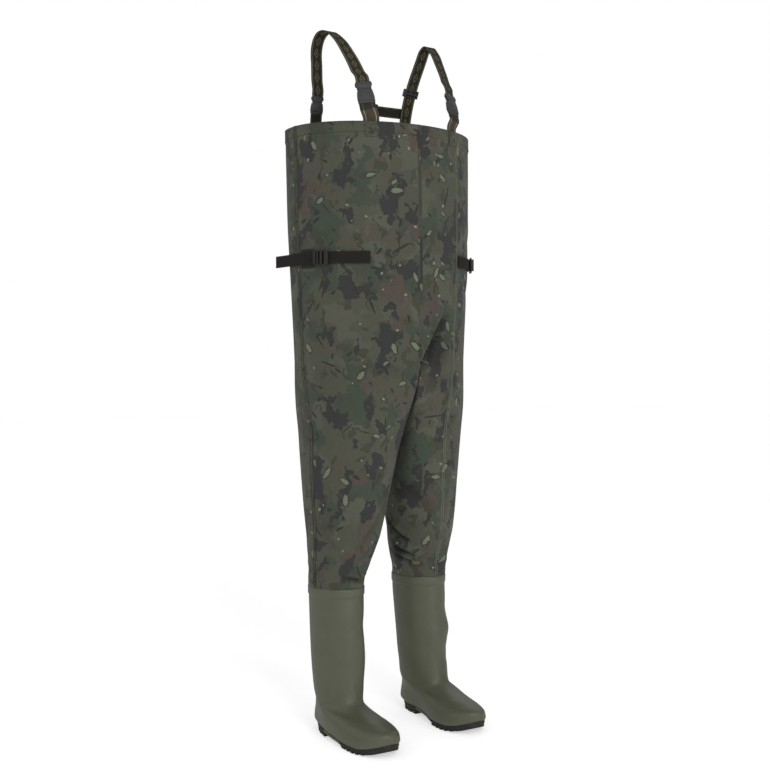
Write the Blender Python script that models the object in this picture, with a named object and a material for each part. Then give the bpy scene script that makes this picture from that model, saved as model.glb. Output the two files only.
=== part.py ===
"""Chest waders: a bib-and-leg body, two moulded boots and the webbing that carries them.

Metres, +Z up. The wearer faces -Y and the wearer's left is +X. The soles stand on z = 0.
"""

import math

import bmesh
import bpy
import numpy as np

for item in list(bpy.data.objects):
    bpy.data.objects.remove(item)

RIGHT = -1
LEFT = 1
GAP = 0.0003

# Body: one coated-cloth shell, bib and both legs
BODY_Y = 0.06115
CLOTH_WALL = 0.0014
HEM_HEIGHT = 0.030
HEM_STEP = 0.0010
SEAM_ANGLE = 84.0
SEAM_SPREAD = 1.4
SEAM_RIDGE = 0.0018
RIM_FRONT = 1.428
RIM_BACK = 1.427
CROTCH_FRONT = 0.885
CROTCH_BACK = 0.872
CROTCH_DIP = 0.062
CROTCH_WALL = 0.006
LEG_JOIN = 0.70
TUCK_Z = 0.3462
LEG_START_ANGLE = -42.0
LEG_SWEEP = 264.0
FOLD_SOFTNESS = 0.012
HALF_ANGLES = (0, 12, 24, 36, 48, 60, 72, SEAM_ANGLE - SEAM_SPREAD, SEAM_ANGLE,
               SEAM_ANGLE + SEAM_SPREAD, 96, 108, 120, 132, 144, 156, 168, 180)
CROTCH_POINTS = 6

BIB_COLUMNS = ("z", "half_width", "front", "back", "back_power")
BIB_ROWS = (
    (0.860, 0.219, 0.187, 0.136, 2.00),
    (0.920, 0.222, 0.188, 0.136, 2.00),
    (1.000, 0.226, 0.190, 0.135, 2.05),
    (1.100, 0.231, 0.192, 0.132, 2.15),
    (1.200, 0.235, 0.189, 0.127, 2.35),
    (1.300, 0.237, 0.186, 0.119, 2.55),
    (1.428, 0.239, 0.180, 0.112, 2.80),
)

LEG_COLUMNS = ("z", "centre_x", "centre_y", "fore_half", "across_half", "turn", "gap")
LEG_ROWS = (
    (0.290, 0.1270, -0.002, 0.0665, 0.0570, 0, 0.020),
    (0.337, 0.1270, -0.002, 0.0665, 0.0570, 0, 0.020),
    (0.3446, 0.1270, -0.002, 0.0665, 0.0570, 0, 0.020),
    (0.3462, 0.1270, -0.002, 0.0715, 0.0640, 0, 0.022),
    (0.360, 0.1265, -0.003, 0.0720, 0.0660, 1, 0.024),
    (0.395, 0.1212, -0.008, 0.0752, 0.0727, 8, 0.024),
    (0.430, 0.1180, -0.013, 0.0855, 0.0780, 12, 0.023),
    (0.470, 0.1150, -0.020, 0.0950, 0.0830, 16, 0.021),
    (0.520, 0.1110, -0.021, 0.1040, 0.0900, 18, 0.017),
    (0.580, 0.1055, -0.021, 0.1130, 0.0980, 20, 0.013),
    (0.650, 0.0985, -0.022, 0.1250, 0.1070, 20, 0.010),
    (0.720, 0.0900, -0.025, 0.1400, 0.1160, 20, 0.008),
    (0.800, 0.0840, -0.027, 0.1530, 0.1240, 20, 0.006),
    (0.890, 0.0800, -0.028, 0.1600, 0.1270, 20, 0.006),
)

# Boots: heel back and toe tip are measured along the foot from a line near the back of the heel
HEEL_BACK_Y = 0.11215
HEEL_X = 0.1315
STAGGER = 0.014
STAGGER_TOP = 0.80
STAGGER_FOOT = 0.34
SOLE_LENGTH = 0.294
BOOT_WALL = 0.0026
INFLARE = 0.0015
INFLARE_START = 0.25
INFLARE_SPAN = 0.60
FOOT_TURN = 0.034
TURN_PIVOT = 0.10
ARCH_BOW = 0.0070
ARCH_MIDDLE = 0.115
ARCH_SPAN = 0.055
TURN_LOW = 0.045
TURN_HIGH = 0.110
CAP_STEP = 0.0009
CAP_SHARE = 0.30
CAP_EDGE = 0.012
CAP_RISE = 0.4
CAP_TOP_FRONT = 0.28
PLAIN_SHARE = 0.24
SPUR_OUT = 0.0065
SPUR_Z = 0.033
SPUR_TALL = 0.010
SPUR_WIDE = 0.020
HEEL_SHARE = 0.3
CAP_COLUMNS = 4
SIDE_COLUMNS = 7

LAST_COLUMNS = ("share", "fullness")
LAST_ROWS = (
    (0.00, 1.24),
    (0.08, 1.11),
    (0.17, 1.01),
    (0.30, 0.91),
    (0.45, 0.92),
    (0.60, 1.05),
    (0.70, 1.16),
    (0.80, 1.24),
    (0.90, 1.29),
    (1.00, 1.34),
)

BOOT_COLUMNS = ("back", "back_z", "front", "front_z", "half_width", "oval", "follow", "lean", "cap",
                "taper", "bend")
BOOT_ROWS = (
    (0.0120, 0.0183, 0.2905, 0.0310, 0.0515, 0.00, 1.00, 0.0000, 1.0, 0.00, 0.0),
    (-0.0060, 0.0290, 0.2944, 0.0375, 0.0552, 0.25, 0.80, 0.0000, 1.0, -0.06, 0.0),
    (-0.0060, 0.0430, 0.2936, 0.0478, 0.0552, 0.60, 0.50, 0.0000, 1.0, -0.10, 0.0),
    (-0.0045, 0.0560, 0.2870, 0.0562, 0.0550, 0.85, 0.30, 0.0000, 0.7, 0.00, 0.2),
    (-0.0030, 0.0650, 0.2715, 0.0604, 0.0554, 0.95, 0.20, 0.0000, 0.2, 0.18, 0.6),
    (-0.0010, 0.0800, 0.2380, 0.0638, 0.0556, 1.00, 0.00, -0.0005, 0.0, 0.36, 1.0),
    (-0.0004, 0.0910, 0.2050, 0.0676, 0.0558, 1.00, 0.00, -0.0012, 0.0, 0.40, 1.0),
    (-0.0002, 0.1020, 0.1750, 0.0738, 0.0560, 1.00, 0.00, -0.0018, 0.0, 0.32, 1.0),
    (0.0000, 0.1150, 0.1500, 0.0850, 0.0563, 1.00, 0.00, -0.0015, 0.0, 0.15, 1.0),
    (-0.0005, 0.1330, 0.1400, 0.1065, 0.0572, 1.00, 0.00, -0.0010, 0.0, 0.04, 1.0),
    (-0.0035, 0.1610, 0.1338, 0.1500, 0.0597, 1.00, 0.00, -0.0015, 0.0, 0.00, 0.5),
    (-0.0078, 0.2050, 0.1320, 0.2020, 0.0617, 1.00, 0.00, -0.0020, 0.0, 0.00, 0.0),
    (-0.0142, 0.2600, 0.1288, 0.2600, 0.0627, 1.00, 0.00, -0.0033, 0.0, 0.00, 0.0),
    (-0.0192, 0.3120, 0.1252, 0.3120, 0.0634, 1.00, 0.00, -0.0045, 0.0, 0.00, 0.0),
    (-0.0198, 0.3235, 0.1247, 0.3235, 0.0636, 1.00, 0.00, -0.0045, 0.0, 0.00, 0.0),
    (-0.0217, 0.3262, 0.1267, 0.3262, 0.0653, 1.00, 0.00, -0.0045, 0.0, 0.00, 0.0),
    (-0.0220, 0.3420, 0.1270, 0.3420, 0.0656, 1.00, 0.00, -0.0045, 0.0, 0.00, 0.0),
    (-0.0208, 0.3450, 0.1258, 0.3450, 0.0644, 1.00, 0.00, -0.0045, 0.0, 0.00, 0.0),
)
TAPER_START = 0.30
COLLAR_ROWS = 3

# Outsole: heel pad and forefoot pad stand on one plane, the waist is raised, the toe springs
SOLE_COLUMNS = ("along", "top", "bottom", "waist")
SOLE_ROWS = (
    (0.000, 0.0180, 0.0000, 0.00),
    (0.088, 0.0180, 0.0000, 0.00),
    (0.092, 0.0178, 0.0120, 0.80),
    (0.130, 0.0160, 0.0092, 1.00),
    (0.168, 0.0128, 0.0060, 0.80),
    (0.176, 0.0122, 0.0000, 0.00),
    (0.226, 0.0130, 0.0000, 0.00),
    (0.252, 0.0165, 0.0035, 0.00),
    (0.273, 0.0225, 0.0090, 0.00),
    (0.294, 0.0310, 0.0170, 0.00),
)
WAIST_INSET = 0.009
WAIST_LIFT_INNER = 0.0045
WAIST_LIFT_OUTER = -0.0010
WAIST_EDGES = (0.088, 0.092, 0.168, 0.176)
SOLE_LEDGE = 0.0045
LEDGE_FALL = 0.0008
LEAST_SIDE = 0.0012
SOLE_STEP = 0.0014
SOLE_DRAFT = 0.0022
LUG_DEPTH = 0.0058
LUG_SLOT = 0.0070
SLOT_FLOOR = 0.44
SLOT_REACH = 0.47
LEAST_STATION = 0.0003
SOLE_TURNS = 13
FIRST_TURN = 0.09
TIP_CUT = 0.0005
STEP_SHARE = 0.3
DRAFT_SHARE = 0.4
HEEL_SLOTS = (0.025, 0.049, 0.073)
FORE_SLOTS = (0.192, 0.208, 0.224, 0.240, 0.256)
SOLE_OVERHANG = 0.0018
INSOLE_THICK = 0.0030
INSOLE_CLEAR = 0.0034
INSOLE_LIFT = 0.0012
INSOLE_END_HALF = 0.004
INSOLE_SECTIONS = 11

# Webbing and its fittings: x and y are measured from the middle of the bib
WEB_THICK = 0.0020
STRAP_WIDTH = 0.033
TAB_WIDTH = 0.038
FRONT_TAB_ANGLE = 28.6
TAB_INSET = 0.0052
TAB_DEPTH = 0.040
TAB_STRAIGHT = 0.008
RIGHT_STRAP_ROWS = (
    (-0.1240, 0.0850, 1.5325),
    (-0.1270, 0.0820, 1.6000),
    (-0.1280, 0.0800, 1.6500),
    (-0.1270, 0.0650, 1.6740),
    (-0.1250, 0.0330, 1.6790),
    (-0.1220, -0.0120, 1.6540),
    (-0.1200, -0.0650, 1.6010),
    (-0.1220, -0.1310, 1.5220),
)
LEFT_STRAP_ROWS = (
    (0.1360, 0.0965, 1.3900),
    (0.1370, 0.0965, 1.4400),
    (0.1400, 0.0940, 1.5000),
    (0.1460, 0.0800, 1.5650),
    (0.1480, 0.0430, 1.6280),
    (0.1475, 0.0000, 1.6720),
    (0.1450, -0.0280, 1.6530),
    (0.1400, -0.0640, 1.6070),
    (0.1220, -0.1310, 1.5220),
)
WEB_CLEAR = 0.0010
WEB_STRAIGHT = 0.012
STRAP_TWIST = 0.08
STRAP_TURN_START = 0.375
FRONT_CLIP_TOP = (0.1220, -0.1315, 1.5215)
FRONT_CLIP_FOOT = (0.1210, -0.1490, 1.4700)
BACK_CLIP_TOP = (-0.1230, 0.0852, 1.5320)
BACK_CLIP_FOOT = (-0.1225, 0.0925, 1.4900)
BACK_TAB_X = 0.1220
BACK_TAB_Y = 0.0960
BACK_WAY = (1.0, 0.06, 0.0)
CLIP_COLUMNS = ("across", "up")
CLIP_BODY_ROWS = (
    (1.00, 0.000),
    (1.00, 0.260),
    (0.86, 0.310),
    (0.70, 0.330),
    (0.70, 0.720),
)
CLIP_PRONG_ROWS = (
    (0.76, 0.735),
    (0.76, 0.400),
    (0.84, 0.360),
    (0.96, 0.400),
    (1.00, 0.800),
    (0.86, 1.000),
)
CLIP_HALF = 0.0200
CLIP_THICK = 0.0095
BACK_CLIP_HALF = 0.0170
BACK_CLIP_THICK = 0.0080
BRIDGE_WIDTH = 0.027
BRIDGE_Z = 1.5200
BRIDGE_ROWS = (
    (0.0300, 0.1011),
    (0.0640, 0.1011),
    (0.1215, 0.0986),
    (0.1585, 0.0956),
)
POST_X = 0.0450
POST_Y = 0.0985
POST_TOP = 1.5365
POST_WIDTH = 0.030
SLIDER_Z = 1.5700
BACK_SLIDER_LINES = ((-0.0205, -0.0170, 0.0170, 0.0205), (-0.010, 0.010), (-0.0050, -0.0026, 0.0026, 0.0050))
STRAP_STEPS = 22
WAIST_Z = 1.1155
WAIST_WIDTH = 0.028
WAIST_START_ANGLE = 31.5
WAIST_LEAVE_ANGLE = 88.0
WAIST_TAIL = 0.080
WAIST_TAIL_SPLAY = 5.0
WAIST_LIFT = 0.0038
PATCH_ANGLES = (68.0, 80.0)
PATCH_HEIGHT = 0.044
PATCH_LIFT = 0.0017
PATCH_THICK = 0.0011
SLIDER_ANGLE = 62.0
SLIDER_LIFT = 0.0060
SLIDER_LINES = ((-0.018, -0.0125, -0.0065, -0.0030, 0.0030, 0.0075, 0.0125, 0.018),
                (-0.0185, -0.0145, 0.0145, 0.0185), (0.0, 0.0045, 0.0095))
SLIDER_SLOTS = (2, 4)
SLIDER_LIP = 0

CLOTH = ("wader_cloth", (0.075, 0.085, 0.055), 0.85, 0.0)
BOOT_PVC = ("boot_pvc", (0.095, 0.105, 0.065), 0.45, 0.0)
SOLE_RUBBER = ("sole_rubber", (0.030, 0.027, 0.025), 0.70, 0.0)
INSOLE_FELT = ("insole_felt", (0.120, 0.120, 0.110), 0.95, 0.0)
WEBBING = ("webbing", (0.035, 0.030, 0.026), 0.85, 0.0)
CLIP_PLASTIC = ("clip_plastic", (0.050, 0.050, 0.052), 0.50, 0.0)


def column(rows, columns, name):
    """One named column of a table as an array."""
    return np.array([row[columns.index(name)] for row in rows], float)


def smooth(x, xs, ys):
    """A cubic through the rows of a table whose slopes are limited so that it never overshoots."""
    x = np.asarray(x, float)
    step = np.diff(xs)
    rise = np.diff(ys) / step
    slope = np.zeros(len(xs))
    product = rise[:-1] * rise[1:]
    total = rise[:-1] + rise[1:]
    slope[1:-1] = np.where(product > 0, 2 * product / np.where(total == 0, 1, total), 0)
    slope[0] = rise[0]
    slope[-1] = rise[-1]
    k = np.clip(np.searchsorted(xs, x) - 1, 0, len(xs) - 2)
    t = np.clip((x - xs[k]) / step[k], 0, 1)
    return ((2 * t ** 3 - 3 * t ** 2 + 1) * ys[k] + (t ** 3 - 2 * t ** 2 + t) * step[k] * slope[k]
            + (3 * t ** 2 - 2 * t ** 3) * ys[k + 1] + (t ** 3 - t ** 2) * step[k] * slope[k + 1])


def along(rows, columns, name, x):
    return smooth(x, column(rows, columns, columns[0]), column(rows, columns, name))


def ease(t):
    t = np.clip(t, 0, 1)
    return t * t * (3 - 2 * t)


def material(name, colour, roughness, metallic):
    made = bpy.data.materials.get(name)
    if made is None:
        made = bpy.data.materials.new(name)
        made.use_nodes = True
        shader = made.node_tree.nodes["Principled BSDF"]
        shader.inputs["Base Color"].default_value = (*colour, 1)
        shader.inputs["Roughness"].default_value = roughness
        shader.inputs["Metallic"].default_value = metallic
    return made


def solid(name, points, faces, look, flat=False):
    """One named object from points and faces, its faces turned outwards."""
    mesh = bpy.data.meshes.new(name)
    mesh.from_pydata([tuple(map(float, p)) for p in points], [], [tuple(map(int, f)) for f in faces])
    work = bmesh.new()
    work.from_mesh(mesh)
    bmesh.ops.recalc_face_normals(work, faces=work.faces)
    if work.calc_volume(signed=True) < 0:
        bmesh.ops.reverse_faces(work, faces=work.faces)
    work.to_mesh(mesh)
    work.free()
    for face in mesh.polygons:
        face.use_smooth = not flat
    made = bpy.data.objects.new(name, mesh)
    made.data.materials.append(material(*look))
    bpy.context.scene.collection.objects.link(made)
    return made


def band(low, high):
    """Quads between two closed loops of point numbers of the same length."""
    count = len(low)
    return [(low[i], low[(i + 1) % count], high[(i + 1) % count], high[i]) for i in range(count)]


def seam_ridge(angles):
    return SEAM_RIDGE * np.clip(1 - np.abs(np.asarray(angles) - SEAM_ANGLE) / SEAM_SPREAD, 0, 1)


def bib_xy(angles, z, side, inset):
    """Plan of the bib at height z, angles running from the front centre to the back centre."""
    turn = np.radians(angles)
    half_width = along(BIB_ROWS, BIB_COLUMNS, "half_width", z) - inset
    front = along(BIB_ROWS, BIB_COLUMNS, "front", z) - inset
    back = along(BIB_ROWS, BIB_COLUMNS, "back", z) - inset
    power = 2 / np.where(np.cos(turn) > 0, 2.0, along(BIB_ROWS, BIB_COLUMNS, "back_power", z))
    depth = np.where(np.cos(turn) > 0, front, back)
    across = half_width * np.abs(np.sin(turn)) ** power
    return side * across, BODY_Y - depth * np.sign(np.cos(turn)) * np.abs(np.cos(turn)) ** power


def leg_xy(angles, z, side, inset):
    """Plan of one leg at height z, angle 0 at its front and 90 at its outer side."""
    value = {name: along(LEG_ROWS, LEG_COLUMNS, name, z) for name in LEG_COLUMNS[1:]}
    phase = np.radians(angles + value["turn"])
    fore = (value["fore_half"] - inset) * np.cos(phase)
    across = (value["across_half"] - inset) * np.sin(phase)
    turn = np.radians(value["turn"])
    outward = value["centre_x"] + across * np.cos(turn) - fore * np.sin(turn)
    forward = fore * np.cos(turn) + across * np.sin(turn)
    clear = outward - (value["gap"] + inset)
    outward = value["gap"] + inset + 0.5 * (clear + np.sqrt(clear ** 2 + FOLD_SOFTNESS ** 2))
    stagger = STAGGER * np.clip((STAGGER_TOP - z) / (STAGGER_TOP - STAGGER_FOOT), 0, 1)
    return side * outward, BODY_Y + value["centre_y"] - forward + side * stagger


def body_grid(half_angles, crotch_points, bib_shares, leg_shares, leg_levels, inset, outside):
    """Points and quads of the bib and both legs as one open sheet, inset from the outer face."""
    half = np.array(half_angles, float)
    last = len(half) - 1
    ridge = seam_ridge(half) if outside else np.zeros(last + 1)
    rim = RIM_FRONT + (RIM_BACK - RIM_FRONT) * half / 180
    split = CROTCH_FRONT + (CROTCH_BACK - CROTCH_FRONT) * half / 180
    points = []
    faces = []

    def add(xs, ys, zs):
        start = len(points)
        points.extend(zip(xs, ys, zs))
        return list(range(start, len(points)))

    rings = []
    for share in bib_shares:
        z = rim + (split - rim) * share
        hem = HEM_STEP if outside and (rim - z).max() < HEM_HEIGHT else 0.0
        grow = inset - hem - ridge * (0 if hem else 1)
        x, y = bib_xy(half, z, LEFT, grow)
        left = add(x, y, z)
        x, y = bib_xy(half[1:-1], z[1:-1], RIGHT, grow[1:-1])
        right = add(x, y, z[1:-1])
        rings.append((left, [left[0]] + right + [left[-1]]))
    loops = [left + right[-2:0:-1] for left, right in rings]
    for low, high in zip(loops, loops[1:]):
        faces.extend(band(low, high))
    rim_loop = loops[0]

    # The crotch line runs from the back centre to the front centre and belongs to both legs
    part = np.arange(1, crotch_points + 1) / (crotch_points + 1)
    lift = 0.0 if outside else CROTCH_WALL
    left_ring = rings[-1][0]
    back_point = np.array(points[left_ring[-1]])
    front_point = np.array(points[left_ring[0]])
    line = back_point + (front_point - back_point) * part[:, None]
    line[:, 2] += lift * np.sin(np.pi * part) ** 0.5 - CROTCH_DIP * np.sin(np.pi * part) ** 0.8
    crotch = add(line[:, 0], line[:, 1], line[:, 2])

    leg_angles = LEG_START_ANGLE + LEG_SWEEP * half / 180
    leg_angles = np.concatenate([leg_angles, leg_angles[-1] + (360 - LEG_SWEEP) * part])
    leg_ridge = np.concatenate([ridge, np.zeros(crotch_points)])
    ends = []
    for side, ring in ((LEFT, rings[-1][0]), (RIGHT, rings[-1][1])):
        loop = ring + crotch
        start = np.array([points[i] for i in loop])
        for share in leg_shares:
            z = start[:, 2] + (LEG_JOIN - start[:, 2]) * share
            x, y = leg_xy(leg_angles, z, side, inset - leg_ridge)
            blend = ease(share)
            low = add(start[:, 0] + (x - start[:, 0]) * blend, start[:, 1] + (y - start[:, 1]) * blend, z)
            faces.extend(band(loop, low))
            loop = low
        for level in leg_levels:
            z = np.full(len(leg_angles), level)
            x, y = leg_xy(leg_angles, z, side, inset - leg_ridge * (level > TUCK_Z))
            low = add(x, y, z)
            faces.extend(band(loop, low))
            loop = low
        ends.append(loop)
    return points, faces, [rim_loop] + ends


BIB_SHARES = (0.0, 0.0535, 0.0560, 0.16, 0.28, 0.40, 0.52, 0.64, 0.76, 0.88, 1.0)
LEG_SHARES = (0.22, 0.46, 0.72, 1.0)
LEG_LEVELS = (0.64, 0.58, 0.52, 0.47, 0.43, 0.395, 0.372, 0.358, 0.350, 0.3462, 0.3446, 0.310)


def wader_body():
    outer, faces, outer_ends = body_grid(HALF_ANGLES, CROTCH_POINTS, BIB_SHARES, LEG_SHARES, LEG_LEVELS,
                                         0.0, True)
    inner, inner_faces, inner_ends = body_grid(HALF_ANGLES, CROTCH_POINTS, BIB_SHARES, LEG_SHARES,
                                               LEG_LEVELS, CLOTH_WALL, False)
    shift = len(outer)
    faces = faces + [tuple(i + shift for i in reversed(face)) for face in inner_faces]
    for first, second in zip(outer_ends, inner_ends):
        faces.extend(band(first, [i + shift for i in second]))
    solid("wader_body", outer + inner, faces, CLOTH)


def fullness(share):
    return smooth(share, column(LAST_ROWS, LAST_COLUMNS, "share"), column(LAST_ROWS, LAST_COLUMNS, "fullness"))


def sole_value(name, distance):
    return np.interp(distance, column(SOLE_ROWS, SOLE_COLUMNS, "along"), column(SOLE_ROWS, SOLE_COLUMNS, name))


def sole_top(distance):
    return along(SOLE_ROWS, SOLE_COLUMNS, "top", np.clip(distance, 0, SOLE_LENGTH))


def foot_line(distance, side):
    """How far the foot's middle line lies towards the other foot; both feet turn a little to the left."""
    swing = INFLARE * ease((distance / SOLE_LENGTH - INFLARE_START) / INFLARE_SPAN)
    bow = ARCH_BOW * np.exp(-((distance - ARCH_MIDDLE) / ARCH_SPAN) ** 2)
    return swing - bow - side * FOOT_TURN * (distance - TURN_PIVOT)


def to_world(outward, distance, z, side):
    """From the boot's own sizes to the shared frame."""
    x = side * (HEEL_X + outward)
    y = HEEL_BACK_Y - distance + side * STAGGER
    return np.stack([x, y, np.broadcast_to(z, np.shape(x))], axis=-1)


def boot_loop(row, plain, side):
    """One loop round the boot: outward offset, distance along the foot and height."""
    value = dict(zip(BOOT_COLUMNS, row))
    length = value["front"] - value["back"]
    edge = CAP_SHARE if value["cap"] else PLAIN_SHARE
    fore = np.linspace(0, edge, CAP_COLUMNS + 1)
    rear = np.linspace(edge, 1, SIDE_COLUMNS + 2)[1:]
    turn = np.concatenate([fore, [edge + CAP_EDGE], rear])
    outer = np.concatenate([turn, -turn[-2:0:-1]])
    raised = np.concatenate([fore * 0 + 1, [0], rear * 0])
    raised = np.concatenate([raised, raised[-2:0:-1]])
    share = (1 + np.cos(np.pi * outer)) / 2
    across = np.sin(np.pi * outer) * value["half_width"]
    across = across * (1 + (fullness(share) - 1) * (1 - value["oval"]))
    across = across * (1 - value["taper"] * ease((share - TAPER_START) / (1 - TAPER_START)))
    distance = value["back"] + length * share
    behind = 1 - share
    behind = behind + (behind ** 2 - behind) * value["bend"]
    straight = value["front_z"] + (value["back_z"] - value["front_z"]) * behind
    ground = sole_top(0.0) + (sole_top(SOLE_LENGTH) - sole_top(0.0)) * share
    z = straight + value["follow"] * (sole_top(distance) - ground)
    line = foot_line(distance, side) * (1 - ease((z - TURN_LOW) / (TURN_HIGH - TURN_LOW)))
    if not plain:
        spur = SPUR_OUT * np.exp(-((z - SPUR_Z) / SPUR_TALL) ** 2) * np.exp(-(across / SPUR_WIDE) ** 2)
        distance = distance - spur * (share < HEEL_SHARE)
        grow = CAP_STEP * raised * value["cap"]
        distance = distance + grow * np.cos(np.pi * outer)
        across = across + grow * np.sin(np.pi * outer)
        z = z + grow * CAP_RISE * (value["front"] < CAP_TOP_FRONT)
    return across - line + value["lean"], distance, z


def grid_normals(grid):
    """Unit normals of a grid of points, rows by closed columns."""
    round_way = np.roll(grid, -1, axis=1) - np.roll(grid, 1, axis=1)
    up_way = np.gradient(grid, axis=0)
    normal = np.cross(round_way, up_way)
    return normal / np.linalg.norm(normal, axis=2, keepdims=True)


def boot(side, name):
    """The moulded boot upper: open at the collar, and open underneath where the outsole closes it."""
    outer = np.array([to_world(*boot_loop(row, False, side), side) for row in BOOT_ROWS])
    inner = np.array([to_world(*boot_loop(row, True, side), side) for row in BOOT_ROWS[:-COLLAR_ROWS]])
    inner = inner - grid_normals(inner) * BOOT_WALL * np.sign(side)
    rim = inner[-1].copy()
    rim[:, 2] = BOOT_ROWS[-1][BOOT_COLUMNS.index("back_z")]
    inner = np.concatenate([inner, rim[None]])
    for rows in (outer, inner):
        distance = HEEL_BACK_Y + side * STAGGER - rows[0, :, 1]
        rows[0, :, 2] = sole_top(distance) + GAP
    count = outer.shape[1]
    points = np.concatenate([outer.reshape(-1, 3), inner.reshape(-1, 3)])
    numbers = np.arange(len(points)).reshape(-1, count)
    faces = []
    for first, second in zip(numbers[:len(outer)], numbers[1:len(outer)]):
        faces.extend(band(list(first), list(second)))
    for first, second in zip(numbers[len(outer):], numbers[len(outer) + 1:]):
        faces.extend(band(list(second), list(first)))
    faces.extend(band(list(numbers[len(outer)]), list(numbers[0])))
    faces.extend(band(list(numbers[len(outer) - 1]), list(numbers[-1])))
    solid(name, points, faces, BOOT_PVC)


BOOT_EDGE = dict(zip(BOOT_COLUMNS, BOOT_ROWS[0]))
SOLE_BACK = BOOT_EDGE["back"] - SOLE_OVERHANG
SOLE_FRONT = BOOT_EDGE["front"] + SOLE_OVERHANG


def edge_half_width(distance, back, front):
    """Half width of the boot's lower edge, drawn between a back and a front end."""
    share = np.clip((distance - back) / (front - back), 0, 1)
    return BOOT_EDGE["half_width"] * 2 * np.sqrt(share * (1 - share)) * fullness(share)


def sole_stations():
    """Distances along the sole: round ends, section rows and both walls of every slot."""
    turn = np.linspace(FIRST_TURN, 1, SOLE_TURNS)[:-1] * math.pi
    stations = list(SOLE_BACK + (1 - np.cos(turn)) / 2 * (SOLE_FRONT - SOLE_BACK))
    stations.append(SOLE_FRONT - TIP_CUT)
    stations += WAIST_EDGES
    for middle in HEEL_SLOTS + FORE_SLOTS:
        for offset in (-0.5, -SLOT_FLOOR, SLOT_FLOOR, 0.5):
            stations.append(middle + offset * LUG_SLOT)
    stations = sorted(stations)
    kept = stations[:1]
    for value in stations[1:]:
        if value - kept[-1] > LEAST_STATION:
            kept.append(value)
    return np.array(kept)


def slot_depth(distance):
    depth = 0.0
    for middle in HEEL_SLOTS + FORE_SLOTS:
        if abs(distance - middle) < SLOT_REACH * LUG_SLOT:
            depth = LUG_DEPTH
    return depth


def outsole(side, name):
    """The outsole: slotted heel and forefoot pads, a raised waist, toe spring and a ledge round the side."""
    points = []
    rows = []
    for distance in sole_stations():
        half = edge_half_width(distance, SOLE_BACK, SOLE_FRONT) + SOLE_OVERHANG
        line = -foot_line(distance, side)
        waist = float(sole_value("waist", distance))
        top = float(sole_top(distance))
        bottom = float(sole_value("bottom", distance)) + slot_depth(distance)
        ledge = top - SOLE_LEDGE
        step = min(SOLE_STEP, half * STEP_SHARE)
        draft = min(SOLE_DRAFT, half * DRAFT_SHARE)
        section = []
        for way, inset, lift in ((1, 0.0, WAIST_LIFT_OUTER), (-1, WAIST_INSET, WAIST_LIFT_INNER)):
            wall = half - inset * waist
            low = min(bottom + lift * waist, ledge - LEAST_SIDE)
            profile = ((half, top), (half, ledge), (wall - step, ledge - LEDGE_FALL), (wall - draft, low))
            section.extend((way * across, z) for across, z in profile[::way])
        start = len(points)
        points.extend(to_world(np.array([line + across]), np.array([distance]), z, side)[0]
                      for across, z in section)
        rows.append(list(range(start, len(points))))
    faces = [tuple(rows[0]), tuple(reversed(rows[-1]))]
    for first, second in zip(rows, rows[1:]):
        faces.extend(band(first, second))
    solid(name, points, faces, SOLE_RUBBER, flat=True)


def insole(side, name):
    """A loose felt insole lying on the outsole inside the boot."""
    inset = BOOT_WALL + INSOLE_CLEAR
    start = BOOT_EDGE["back"] + inset
    finish = BOOT_EDGE["front"] - inset
    turn = (np.arange(INSOLE_SECTIONS) + 0.5) / INSOLE_SECTIONS
    points = []
    rows = []
    for share in (1 - np.cos(np.pi * turn)) / 2:
        distance = start + (finish - start) * share
        half = float(edge_half_width(distance, BOOT_EDGE["back"], BOOT_EDGE["front"])) - inset
        half = max(half, INSOLE_END_HALF)
        line = -float(foot_line(distance, side))
        low = float(sole_top(distance)) + INSOLE_LIFT
        row = []
        for across, z in ((half, low), (half, low + INSOLE_THICK), (-half, low + INSOLE_THICK), (-half, low)):
            row.append(len(points))
            points.append(to_world(np.array([line + across]), np.array([distance]), z, side)[0])
        rows.append(row)
    faces = [tuple(rows[0]), tuple(reversed(rows[-1]))]
    for first, second in zip(rows, rows[1:]):
        faces.extend(band(first, second))
    solid(name, points, faces, INSOLE_FELT, flat=True)


def curve(rows, count):
    """Even steps along a smooth curve through the rows of a path."""
    points = np.array(rows, float)
    chord = np.concatenate([[0], np.cumsum(np.linalg.norm(np.diff(points, axis=0), axis=1))])
    fine = np.linspace(0, chord[-1], 400)
    dense = np.stack([smooth_path(fine, chord, points[:, axis]) for axis in range(3)], axis=1)
    length = np.concatenate([[0], np.cumsum(np.linalg.norm(np.diff(dense, axis=0), axis=1))])
    wanted = np.linspace(0, length[-1], count)
    return np.stack([np.interp(wanted, length, dense[:, axis]) for axis in range(3)], axis=1)


def smooth_path(x, xs, ys):
    """A cubic through the rows with the slope of each row's neighbours."""
    slope = np.gradient(ys, xs)
    k = np.clip(np.searchsorted(xs, x) - 1, 0, len(xs) - 2)
    step = xs[k + 1] - xs[k]
    t = (x - xs[k]) / step
    return ((2 * t ** 3 - 3 * t ** 2 + 1) * ys[k] + (t ** 3 - 2 * t ** 2 + t) * step * slope[k]
            + (3 * t ** 2 - 2 * t ** 3) * ys[k + 1] + (t ** 3 - t ** 2) * step * slope[k + 1])


def unit(vector):
    vector = np.asarray(vector, float)
    return vector / np.linalg.norm(vector, axis=-1, keepdims=True)


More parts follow.
